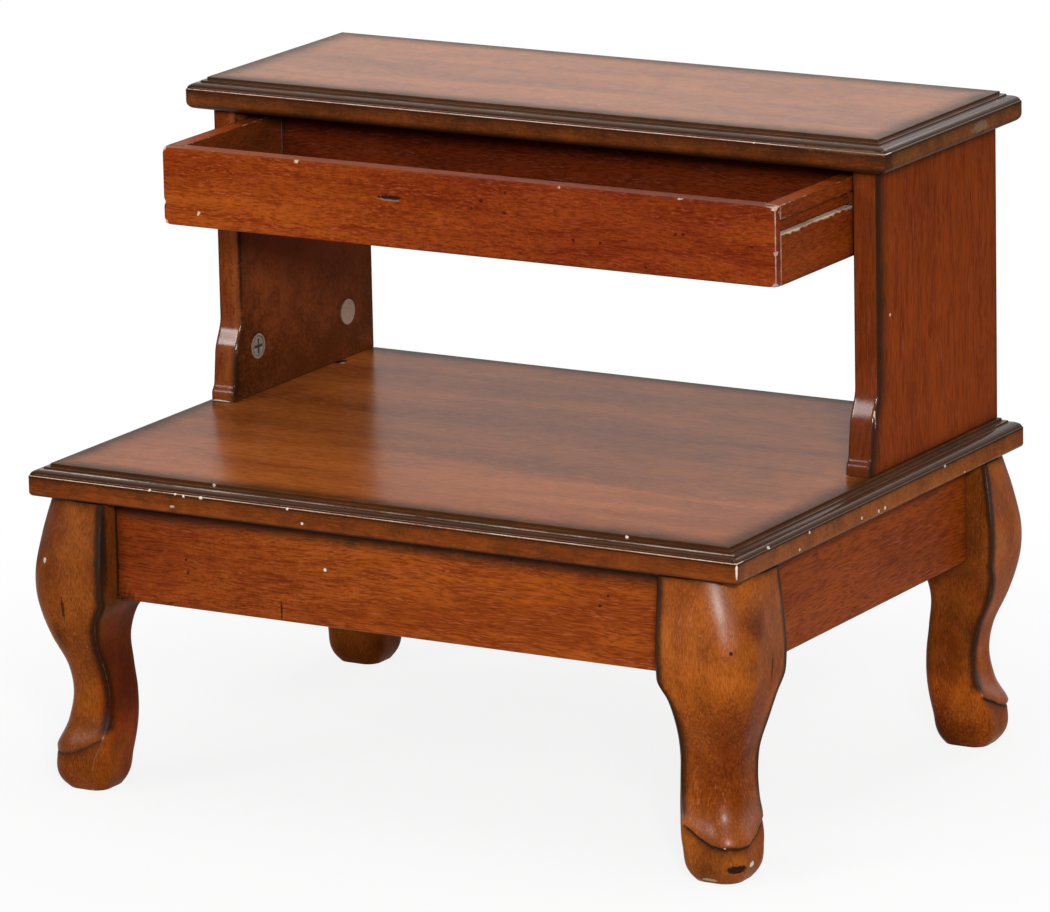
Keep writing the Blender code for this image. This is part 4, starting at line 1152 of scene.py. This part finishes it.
    def build(self) -> None:
        """Makes and dresses the drawer's pieces."""
        face = StainedWood(
            "drawer_front_lacquer", (0.450, 0.092, 0.009), (0.235, 0.030, 0.003), Grain.ALONG_X,
            (0.11, 0.0, 0.07), specular=0.06, bare=(0.68, 0.50, 0.32), worm_share=0.14,
            marks=self.front_marks()).make()
        dress(self.front().build("drawer_face"), face, DRAWER, ["drawer_front"])
        box = StainedWood(
            "drawer_box_stain", (0.310, 0.055, 0.006), (0.190, 0.028, 0.003), Grain.ALONG_Y, (0.5, 0.1, 0.2),
            rough=0.40, bare=(0.82, 0.66, 0.49), worm_share=0.02).make()
        for side, sign in SIDES.items():
            piece = self.side(f"drawer_{side}_side", sign).build(f"drawer_{side}_wall")
            dress(piece, box, DRAWER, [f"drawer_{side}_side"])
        # A darker copy of the box stain for the back and the floor: painted shade inside the drawer.
        inside = StainedWood(
            "drawer_inside_stain_in_painted_shade", (0.150, 0.022, 0.004), (0.090, 0.012, 0.002), Grain.ALONG_X,
            (0.8, 0.3, 0.6), rough=0.42, worm_share=0.02).make()
        back = bar("drawer_back", 0, 0.0007, 0.003, 0.0004, 0.005).build("drawer_back_wall")
        dress(back, inside, DRAWER, ["drawer_back"])
        floor = bar("drawer_bottom", 1, 0.0003, 0.006, 0.0003, 0.006).build("drawer_floor")
        dress(floor, inside, DRAWER, ["drawer_bottom"])


@dataclass
class Aprons:
    """The four aprons between the legs."""

    ease: float = 0.0010
    under_nose_shadow_and_dirt: tuple[float, float] = (0.92, 0.55)
    under_nose_shadow_fade: float = 0.0100
    end_fade: float = 0.007

    def apron(self, node: str, axis: int) -> Skin:
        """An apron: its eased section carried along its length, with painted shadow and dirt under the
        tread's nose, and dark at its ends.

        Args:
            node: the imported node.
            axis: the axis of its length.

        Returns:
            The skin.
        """
        low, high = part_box(node)
        skin = bar(node, axis, self.ease, 0.002, 0.0003, 0.003, band=0.003)
        along = skin.rings[..., axis]
        # Painted shadow with some dirt under the tread's nose, stronger on the front and back aprons.
        under = self.under_nose_shadow_and_dirt[axis] * bell(high[2] - skin.rings[..., 2], self.under_nose_shadow_fade, 2.4)
        ends = 0.6 * bell(np.minimum(along - low[axis], high[axis] - along), self.end_fade, 1)
        skin.grime_and_shade = np.max([0.5 * skin.grime_and_shade, under, ends], axis=0)
        skin.wear *= 0.5
        return skin

    def front_marks(self) -> tuple[Mark, ...]:
        """The front apron's darker left half, pin holes, white chip, joint line, dark corner and split."""
        pin = (0.0011, 0.002, 0.0011)
        return (
            Mark.tint((-0.1850, APRON_FACE, 0.1450), (0.1900, 0.0500, 0.1100), (0.58, 0.44, 0.52)),
            Mark((0.1417, APRON_FACE, 0.1540), pin, PIN_HOLE),
            Mark((0.1365, APRON_FACE, 0.1477), pin, PIN_HOLE),
            Mark((0.0810, APRON_FACE, 0.1678), (0.0012, 0.002, 0.0012), PIN_HOLE),
            Mark((-0.0389, APRON_FACE, 0.1479), (0.0010, 0.002, 0.0010), (0.8, 0.74, 0.66)),
            Mark((-0.1295, APRON_FACE, 0.1360), pin, PIN_HOLE),
            Mark((-0.1306, APRON_FACE, 0.1432), pin, PIN_HOLE),
            Mark((-0.1768, APRON_FACE, 0.1440), (0.0013, 0.004, 0.0400), (0.016, 0.008, 0.004), 0.85),
            Mark.tint((-0.1720, APRON_FACE, 0.1165), (0.0090, 0.010, 0.0060), (0.35, 0.30, 0.30)),
            Mark((-0.0681, APRON_FACE, 0.1215), (0.0007, 0.002, 0.0062), (0.02, 0.008, 0.004)))

    def build(self) -> None:
        """Makes and dresses the aprons."""
        long_wood = StainedWood(
            "front_apron_lacquer", (0.405, 0.089, 0.009), (0.220, 0.035, 0.003), Grain.ALONG_X,
            (0.0, 0.21, 0.4), specular=0.06, figure=0.4, pore_length=0.011, pore_width=0.0007,
            pore_depth=0.75, worm_share=0.10, marks=self.front_marks())
        short_wood = replace(
            long_wood, name="side_apron_lacquer", heart=(0.335, 0.064, 0.006), shade=(0.200, 0.031, 0.003),
            grain=Grain.ALONG_Y, shift=(0.4, 0.0, 0.7), rough=0.38, specular=0.03, worm_share=0.06, marks=())
        pairs = ((("front", "back"), long_wood), (("left", "right"), short_wood))
        for axis, (names, wood) in enumerate(pairs):
            material = wood.make()
            for name in names:
                node = f"{name}_apron"
                piece = self.apron(node, axis).build(f"{node}_board")
                dress(piece, material, STOOL, [node])


@dataclass(frozen=True)
class LegLook:
    """How one leg differs from the others: depth of its stain, crispness of its carved lip, and its marks."""

    depth: float
    carving: float
    marks: tuple[Mark, ...] = ()


@dataclass
class CabrioleLegs:
    """The four carved legs: a square post, a rolled knee, a thin ankle and a toe under a carved lip."""

    lip: float = 0.0212
    lip_rise: float = 0.0095
    proud: float = 0.0012
    roll: float = 0.0011
    crease: float = 0.0006
    foot_ease: float = 0.003
    corner_share: float = 0.35
    ring_counts: tuple[int, ...] = (41, 14, 9, 10, 9, 14)
    heart: Colour = (0.450, 0.112, 0.010)
    shade: Colour = (0.260, 0.054, 0.005)
    stations: tuple[tuple[float, ...], ...] = (
        (0.0000, 0.0150, 0.0126, 0.0100, 0.0080, 0.0080),
        (0.0030, 0.0176, 0.0147, 0.0110, 0.0090, 0.0090),
        (0.0195, 0.0203, 0.0185, 0.0120, 0.0090, 0.0100),
        (0.0392, 0.0144, 0.0207, 0.0130, 0.0040, 0.0090),
        (0.0553, 0.0124, 0.0208, 0.0140, 0.0025, 0.0090),
        (0.0709, 0.0143, 0.0196, 0.0145, 0.0025, 0.0090),
        (0.0899, 0.0212, 0.0186, 0.0155, 0.0025, 0.0080),
        (0.1025, 0.0248, 0.0208, 0.0163, 0.0025, 0.0060),
        (0.1150, 0.0272, 0.0263, 0.0178, 0.0022, 0.0040),
        (0.1250, 0.0279, 0.0263, 0.0195, 0.0022, 0.0040),
        (0.1485, 0.0264, 0.0263, 0.0262, 0.0022, 0.0040),
        (0.1720, 0.0234, 0.0263, 0.0350, 0.0022, 0.0040))

    def sizes(self, heights: np.ndarray) -> np.ndarray:
        """Section sizes at each height: a smooth curve through the stations.

        Between two stations the curve is the cubic that meets both with the slopes there.

        Args:
            heights: heights above the floor.

        Returns:
            Outer face, inner face, and radii of the outer, side and inner corners, on the last axis.
        """
        table = np.array(self.stations)
        known, value = table[:, 0], table[:, 1:]
        slope = np.gradient(value, known, axis=0)
        slope[-4:, 1] = 0
        fine = np.linspace(0, LEG_HEIGHT, 700)
        piece = np.clip(np.searchsorted(known, fine, side="right") - 1, 0, len(known) - 2)
        span = (known[piece + 1] - known[piece])[:, None]
        share = np.clip((fine - known[piece])[:, None] / span, 0, 1)
        curve = value[piece] + (value[piece + 1] - value[piece]) * share ** 2 * (3 - 2 * share)
        leaving, meeting = share * (1 - share) ** 2, share ** 2 * (share - 1)
        curve += leaving * span * slope[piece] + meeting * span * slope[piece + 1]
        return np.stack([np.interp(heights, fine, column) for column in curve.T], axis=-1)

    def ring(self) -> tuple[np.ndarray, np.ndarray]:
        """The parts of a ring: outer corner, face, side corner, inner corner, side corner and face.

        Returns:
            Each point's part, 0 to 5, and its share of the way along that part.
        """
        runs = []
        for number, count in enumerate(self.ring_counts):
            face = number in (1, 5)
            runs.append(np.linspace(0, 1, count + 2)[1:-1] if face else np.linspace(0, 1, count))
        return np.repeat(np.arange(len(runs)), self.ring_counts), np.concatenate(runs)

    def levels(self) -> np.ndarray:
        """Ring heights at the outer corner: close at the sole and round the lip, and wider up the leg.

        Returns:
            The heights, from the floor up.
        """
        lip, sole = self.lip, self.foot_ease
        below, over = lip - 0.0016, lip + 0.0024
        return np.concatenate([
            sole * (1 - np.cos(np.linspace(0, QUARTER_TURN, 7)))[:-1], np.linspace(sole, below, 16)[:-1],
            np.linspace(below, over, 24)[:-1], np.linspace(over, APRON_BOTTOM, 84)[:-1],
            np.linspace(APRON_BOTTOM, LEG_HEIGHT, 40)])

    def skin(self, carving: float) -> Skin:
        """A leg in local axes, with p and q towards its two outer faces.

        The section is a square with a large round on its outer corner. Near the toe, ring lines dip towards
        that corner by the lip's rise times the square of the distance from it, with a small wobble of the
        carver's hand. The outer faces stand proud of the core above the lip, swell into a rolled toe there
        and drop into a crease below it.

        Args:
            carving: how crisply the lip is carved, from 0 to 1.

        Returns:
            The skin.
        """
        part, unit = self.ring()
        near, far = self.corner_share, 1 - self.corner_share
        start, sweep = np.array([0, 90, 90, 180, 270, 0]), np.array([90, 0, 90, 90, 90, 0])
        angle = np.radians(start[part] + sweep[part] * unit)
        cos, sin = np.cos(angle), np.sin(angle)
        swing = near * (2 * unit - 1)
        away = np.choose(part, [np.abs(swing), near + far * unit, 1.0, 1.0, 1.0, 1 - far * unit])
        signed = np.choose(part, [swing, near + far * unit, 1.0, 1 - 2 * unit, -1.0, -1 + far * unit])
        leaving, meeting = np.clip(1 - 3 * unit, 0, 1), np.clip(3 * unit - 2, 0, 1)
        outside = np.choose(part, [1.0, 1.0, leaving, 0.0, meeting, 1.0])
        wobble = 0.05 * np.sin(7.0 * signed + 1.3) + 0.018 * np.sin(23.0 * signed + 0.4)
        lip, levels = self.lip, self.levels()[:, None]
        warp = np.interp(levels, (self.foot_ease, lip, APRON_BOTTOM), (0, self.lip_rise, 0))
        height = levels + warp * (away ** 2 + wobble)
        a, b, round_out, round_side, round_in = np.moveaxis(self.sizes(height), -1, 0)
        above = np.clip((levels - lip) / (0.0053 - 0.0040 * carving), 0, 1)
        above = carving * np.sqrt(above * (2 - above)) + (1 - carving) * above ** 2 * (3 - 2 * above)
        rolled = carving * self.roll * bell(levels - lip - 0.0045, 0.0055)
        crease = carving * self.crease * bell(levels - lip + 0.0004, 0.0007)
        skin = outside * (above * (self.proud + rolled) - crease)
        core = a - self.proud
        roll = core - round_out
        back = -b + round_side
        face = core + skin
        along = roll + (back - roll) * np.where(part == 5, 1 - unit, unit)
        outer, side = round_out + skin, round_side + skin
        p = np.choose(part, [
            roll + outer * cos, along, back + round_side * cos, -b + round_in * (1 + cos),
            core - round_side + side * cos, face])
        q = np.choose(part, [
            roll + outer * sin, face, core - round_side + side * sin, -b + round_in * (1 + sin),
            back + round_side * sin, along])
        rings = np.stack([p, q, height], axis=-1)
        edges = [int(np.flatnonzero(part == 2)[1]), int(np.flatnonzero(part == 4)[-2])]
        apart = np.min([np.linalg.norm(rings - rings[:, edge:edge + 1], axis=-1) for edge in edges], axis=0)
        return self.paint(rings, apart, np.broadcast_to(levels, apart.shape), outside, carving)

    def paint(
            self, rings: np.ndarray, apart: np.ndarray, over: np.ndarray, outside: np.ndarray,
            carving: float) -> Skin:
        """Paints a leg: dark edge lines, a scorched lip, painted shade at its top and on its inner faces, a
        dark sole, and a polished knee and toe.

        Args:
            rings: the leg's points.
            apart: how far each lies from an edge line.
            over: each one's height before the rings dip to the toe.
            outside: 1 on the outer faces and 0 on the inner ones.
            carving: how crisply the lip is carved, from 0 to 1.

        Returns:
            The skin.
        """
        rise = over - self.lip
        upper = np.clip((over - 0.085) / 0.035, 0, 1)
        line = upper * bell(apart, 0.0040) + (1 - upper) * 0.86 * bell(apart, 0.0056)
        line = line * np.clip(rise / 0.008, 0, 1)
        scorch_and_inner_shade = 0.55 * carving * bell(rise, 0.0011) + 0.40 * bell(rise, 0.0046)
        # Painted shade on the inner faces, full from 2 cm above the lip; below the lip the foot is darker.
        scorch_and_inner_shade = scorch_and_inner_shade * outside + 0.20 * (rise < 0) + 0.54 * (1 - outside) * np.clip(rise / 0.02, 0, 1)
        # Painted shade at the top, under the tread, and a dark sole.
        shaded = 0.7 * bell(LEG_HEIGHT - over, 0.004, 1) + 0.4 * bell(over, 0.002, 1)
        grime_and_shade = np.clip(np.max([1.05 * line, scorch_and_inner_shade, shaded], axis=0), 0, 1)
        wear = 0.55 * bell(apart, 0.0008) + 0.6 * bell(over, 0.0016)
        wear = wear + 0.35 * bell(rise - 0.0022, 0.0010) * outside
        made = Skin(rings, grime_and_shade, np.clip(wear, 0, 1))
        toe = 0.75 * outside * bell(rise - 0.010, 0.008)
        knee = 0.55 * outside * bell(over - 0.152, 0.020)
        made.sheen = toe + knee + 0.10 * bell(apart, 0.0012) * upper - 0.05 * (1 - outside)
        return made

    def looks(self) -> dict[str, LegLook]:
        """How each leg looks.

        Returns:
            The looks, by the leg's corner.
        """
        front_left = (
            Mark.tint((-0.2121, -0.1689, 0.0940), (0.0070, 0.0080, 0.0170), (0.36, 0.30, 0.36)),
            Mark.tint((-0.1850, -0.1480, 0.0640), (0.0120, 0.0360, 0.0800), (0.92, 0.48, 0.34)),
            Mark((-0.1782, -0.1728, 0.1450), (0.0018, 0.0046, 0.0340), SOOT, 0.75, 0.4),
            Mark((-0.2167, -0.1743, 0.1366), (0.0013, 0.0012, 0.0022), CREAM, 0.8),
            Mark((-0.2055, -0.1750, 0.1090), (0.0010, 0.0030, 0.0075), SOOT, 0.8))
        front_right = (
            Mark.tint((0.2290, -0.1545, 0.1480), (0.0100, 0.0120, 0.0180), (0.50, 0.44, 0.46)),
            Mark.tint((0.2150, -0.1600, 0.0760), (0.0300, 0.0300, 0.0480), (0.44, 0.30, 0.34)),
            Mark.tint((0.2033, -0.1680, 0.0090), (0.0300, 0.0300, 0.0240), (0.66, 0.76, 1.0)),
            Mark((0.2231, -0.1713, 0.1337), (0.0013, 0.0013, 0.0013), (0.020, 0.002, 0.002), 0.97),
            Mark((0.2317, -0.1405, 0.1195), (0.0030, 0.0010, 0.0080), SOOT, 0.85),
            Mark((0.2206, -0.1634, 0.0099), (0.0060, 0.0062, 0.0026), SOOT, 0.95),
            Mark((0.2233, -0.1514, 0.0104), (0.0016, 0.0022, 0.0016), CREAM, 0.8),
            Mark((0.2042, -0.1643, 0.0023), (0.0050, 0.0025, 0.0012), (0.55, 0.38, 0.22), 0.7),
            Mark((0.2155, -0.1680, 0.0214), (0.0009, 0.0012, 0.0013), CREAM, 0.95))
        back_right = (
            Mark.tint((0.2000, 0.1310, 0.0060), (0.0400, 0.0400, 0.0280), (0.36, 0.30, 0.46)),
            Mark.tint((0.2000, 0.1310, 0.0600), (0.0900, 0.0900, 0.1100), (1.0, 0.90, 1.0)))
        return {
            "front_left": LegLook(0.66, 0.25, front_left), "front_right": LegLook(0.88, 0.8, front_right),
            "back_left": LegLook(0.70, 0.7), "back_right": LegLook(0.96, 0.6, back_right)}

    def build(self) -> None:
        """Makes and dresses the legs."""
        looks = self.looks()
        for number, (corner, signs) in enumerate(CORNERS.items()):
            look = looks[corner]
            skin = self.skin(look.carving)
            skin.rings = (skin.rings + np.array([LEG_X, LEG_Y, 0.0])) * np.array([*signs, 1])
            wood = StainedWood(
                f"{corner}_leg_lacquer", dimmed(self.heart, look.depth), dimmed(self.shade, look.depth),
                Grain.UPRIGHT, (0.13 * number, 0.29 * number, 0.05 * number), rough=0.34, specular=0.015,
                coat=0.05, coat_rough=0.32, grime_and_shade=(0.015, 0.0075, 0.0036), figure=0.75, figure_length=0.045,
                pore_length=0.0034, pore_width=0.0007, pore_depth=0.55, worm_share=0.10, clouds=0.45,
                marks=look.marks)
            dress(skin.build(f"{corner}_cabriole_leg"), wood.make(), STOOL, [f"{corner}_leg"])


@dataclass
class CamLocks:
    """The cam locks in the panels' inner faces, and the cover caps over the two at the back."""

    radius: float = 0.0075
    proud: float = 0.0003
    groove: float = 0.0058
    arm: float = 0.0044
    slot: float = 0.0009
    cap_radius: float = 0.0077
    cap_proud: float = 0.0012

    def disc(self, node: str, sign: int, radius: float, proud: float, crossed: bool) -> Skin:
        """A disc on a panel's inner face: circles that shrink to its middle.

        The edge is a quarter round. A crossed disc drops by a narrow wave at its ring groove, and by a step
        inside the two arms of its cross.

        Args:
            node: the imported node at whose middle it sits.
            sign: -1 for the left panel, 1 for the right one.
            radius: its radius.
            proud: how far it stands out of the face.
            crossed: whether it has a groove and a cross for a screwdriver.

        Returns:
            The skin.
        """
        middle = np.mean(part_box(node), axis=0)
        turn = np.linspace(0, 2 * math.pi, 73)[:-1]
        edge = np.linspace(0, QUARTER_TURN, 7)
        ease = min(proud, 0.0005)
        inwards = np.linspace(radius - ease, 0.0002, 40)[1:]
        size = np.concatenate([[radius], radius - ease * (1 - np.cos(edge)), inwards])[:, None]
        lift = np.concatenate([[-0.0008], proud - ease * (1 - np.sin(edge)), np.full(39, proud)])[:, None]
        u, v = size * np.cos(turn), size * np.sin(turn)
        across = np.minimum(np.abs(u), np.abs(v)) < self.slot
        inside = across & (size < self.arm) & crossed
        ring = bell(size - self.groove, 0.0004) * crossed
        rise = lift - 0.00022 * inside - 0.00018 * ring
        rings = np.stack([sign * (PANEL_INNER - rise), middle[1] + u, middle[2] + v], axis=-1)
        rim = bell(radius - size, 0.0004, 1) * (lift < proud * 0.7)
        # Painted shade in the cross, in the ring groove and round the rim.
        grime_and_shade = np.clip(inside * 1.0 + 0.6 * ring + 0.7 * rim, 0, 1)
        return Skin(rings, grime_and_shade, np.zeros(grime_and_shade.shape))

    def build(self) -> None:
        """Makes and dresses the cams and caps."""
        zinc = PlainFinish("cam_zinc", (0.38, 0.32, 0.265), 0.40, 0.4, 0.30, 520.0).make()
        cover = PlainFinish("cover_cap_plastic", (0.43, 0.285, 0.205), 0.55, 0.0, 0.14, 500.0).make()
        for side, sign in SIDES.items():
            for spot in ("front_lower", "front_upper", "back_lower", "back_upper"):
                node = f"{side}_{spot}_cam"
                disc = self.disc(node, sign, self.radius, self.proud, True).build(f"{node}_face")
                dress(disc, zinc, STOOL, [node])
            node = f"{side}_cam_cap"
            cap = self.disc(node, sign, self.cap_radius, self.cap_proud, False).build(f"{side}_cover_cap")
            dress(cap, cover, STOOL, [node])


@dataclass
class Fittings:
    """The metal fittings, dowels, blocks and runners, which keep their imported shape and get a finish."""

    metal_ends: tuple[str, ...] = ("_cam_bolt", "_screw", "_leg_bolt")
    raw_ends: tuple[str, ...] = ("_dowel", "_corner_block")
    stained_ends: tuple[str, ...] = ("_runner",)

    def build(self, nodes: dict[str, bpy.types.Object]) -> None:
        """Gives each fitting its finish.

        Args:
            nodes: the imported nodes' objects by name.
        """
        metal = PlainFinish("dull_zinc", (0.40, 0.37, 0.34), 0.42, 1.0, 0.3, 420.0).make()
        raw = PlainFinish("raw_hardwood", (0.40, 0.25, 0.13), 0.62, 0.0, 0.22, 22.0, (1.0, 8.0, 8.0)).make()
        stain = StainedWood(
            "runner_stain", (0.190, 0.040, 0.008), (0.100, 0.018, 0.004), Grain.ALONG_Y, (0.3, 0.3, 0.3),
            rough=0.45).make()
        finishes = ((self.metal_ends, metal), (self.raw_ends, raw), (self.stained_ends, stain))
        for name, obj in nodes.items():
            for ends, finish in finishes:
                if name.endswith(ends):
                    obj.data.materials.clear()
                    obj.data.materials.append(finish)
                    LOG.info("%s keeps its packed shape in %s", name, finish.name)


@dataclass(frozen=True)
class Lamp:
    """A square soft lamp: its name, where it hangs, its side and its power in watts."""

    name: str
    place: Place
    size: float
    power: float


@dataclass
class Studio:
    """A pale floor, soft lamps and the camera at the photograph's angle."""

    position: Place = (2.1367, -3.6490, 1.2301)
    forward: Place = (-0.49095, 0.83725, -0.24078)
    right: Place = (0.86501, 0.50133, -0.0205)
    lens: float = 262.53
    sensor: float = 36.0
    floor_radius: float = 0.75
    floor_grey: float = 0.80
    world_grey: float = 0.20
    lamp_target: Place = (0.0, 0.0, 0.2)
    lamps: tuple[Lamp, ...] = (
        Lamp("key_lamp", (1.75, -2.45, 1.35), 0.45, 62.0), Lamp("low_glint", (2.45, -1.62, 0.85), 0.16, 4.0),
        Lamp("left_fill", (-1.5, -2.15, 1.7), 0.6, 18.0), Lamp("top_fill", (0.2, -0.3, 2.6), 1.6, 23.0),
        Lamp("back_fill", (0.3, 2.3, 2.3), 1.2, 15.0))

    def camera(self) -> None:
        """Sets the camera from its place and directions."""
        data = bpy.data.cameras.new("studio_camera")
        data.lens = self.lens
        data.sensor_fit = "HORIZONTAL"
        data.sensor_width = self.sensor
        data.clip_start = 0.1
        data.clip_end = 60.0
        camera = bpy.data.objects.new("studio_camera", data)
        ahead = Vector(self.forward).normalized()
        up = Vector(self.right).cross(ahead).normalized()
        across = ahead.cross(up).normalized()
        turn = Matrix((across, up, -ahead)).transposed().to_4x4()
        camera.matrix_world = Matrix.Translation(self.position) @ turn
        bpy.context.scene.collection.objects.link(camera)
        bpy.context.scene.camera = camera

    def hang(self, lamp: Lamp) -> None:
        """Hangs a lamp so that it faces the stool.

        Args:
            lamp: the lamp.
        """
        data = bpy.data.lights.new(lamp.name, "AREA")
        data.size = lamp.size
        data.energy = lamp.power
        obj = bpy.data.objects.new(lamp.name, data)
        facing = (Vector(self.lamp_target) - Vector(lamp.place)).to_track_quat("-Z", "Y")
        obj.matrix_world = Matrix.Translation(lamp.place) @ facing.to_matrix().to_4x4()
        bpy.context.scene.collection.objects.link(obj)

    def world(self) -> None:
        """White to the camera, a white backdrop to the gloss, and an even grey that lights the stool.

        The backdrop is where a direction leans to the back by more than a fifth and rises above the floor.
        """
        world = bpy.data.worlds.new("studio_world")
        bpy.context.scene.world = world
        bench = Bench(world)
        way = bench.node("ShaderNodeTexCoord", {}, {}).outputs["Generated"]
        lean = Tone(bench, bench.vector("DOT_PRODUCT", {0: way, 1: (0.0, 0.95, 0.30)}).outputs["Value"])
        level = bench.tone("ShaderNodeSeparateXYZ", {}, {0: way}, "Z")
        behind = lean.rise(0.20, 0.60) * level.rise(-0.05, 0.12)
        seen = bench.ray("Is Camera Ray", "Is Transmission Ray").most(behind * bench.ray("Is Glossy Ray"))
        colour = bench.mix((self.world_grey,) * 3, WHITE, seen)
        bench.feed(bench.tree.nodes["Background"].inputs["Color"], colour)

    def floor(self) -> None:
        """A round floor that shows the stool's soft shadow and fades into the white world at its rim."""
        turn = np.linspace(0, 2 * math.pi, 97)[:-1]
        rim = np.stack([np.cos(turn), np.sin(turn), 0 * turn], axis=1) * self.floor_radius
        mesh = bpy.data.meshes.new("studio_floor")
        mesh.from_pydata(rim.tolist(), [], [list(range(len(rim)))])
        floor = bpy.data.objects.new("studio_floor", mesh)
        bpy.context.scene.collection.objects.link(floor)
        bench = Bench(bpy.data.materials.new("white_floor"))
        bench.shade({"Base Color": (self.floor_grey,) * 3, "Roughness": 0.9, "Specular IOR Level": 0.0})
        seen = bench.ray("Is Camera Ray", "Is Transmission Ray", "Is Glossy Ray")
        fade = bench.length(bench.place()).rise(0.22, self.floor_radius - 0.1) * 0.14 + 0.86
        glow = bench.node("ShaderNodeEmission", {}, {"Color": WHITE, "Strength": 1.0}).outputs[0]
        sockets = {0: seen * fade, 1: bench.shader.outputs[0], 2: glow}
        both = bench.node("ShaderNodeMixShader", {}, sockets)
        bench.feed(bench.tree.nodes["Material Output"].inputs["Surface"], both.outputs[0])
        mesh.materials.append(bench.owner)

    def build(self) -> None:
        """Sets up the studio."""
        self.camera()
        self.world()
        self.floor()
        for lamp in self.lamps:
            self.hang(lamp)
        bpy.context.scene.view_settings.view_transform = "Standard"


def main() -> None:
    """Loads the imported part, dresses it and sets it in the studio."""
    logging.basicConfig(level=logging.INFO, format="%(name)s: %(message)s")
    for obj in list(bpy.data.objects):
        bpy.data.objects.remove(obj, do_unlink=True)
    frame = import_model()
    for assembly in (Studio, Treads, SidePanels, DrawerBox, Aprons, CabrioleLegs, CamLocks):
        assembly().build()
    Fittings().build(frame["nodes"])


if __name__ == "__main__":
    main()
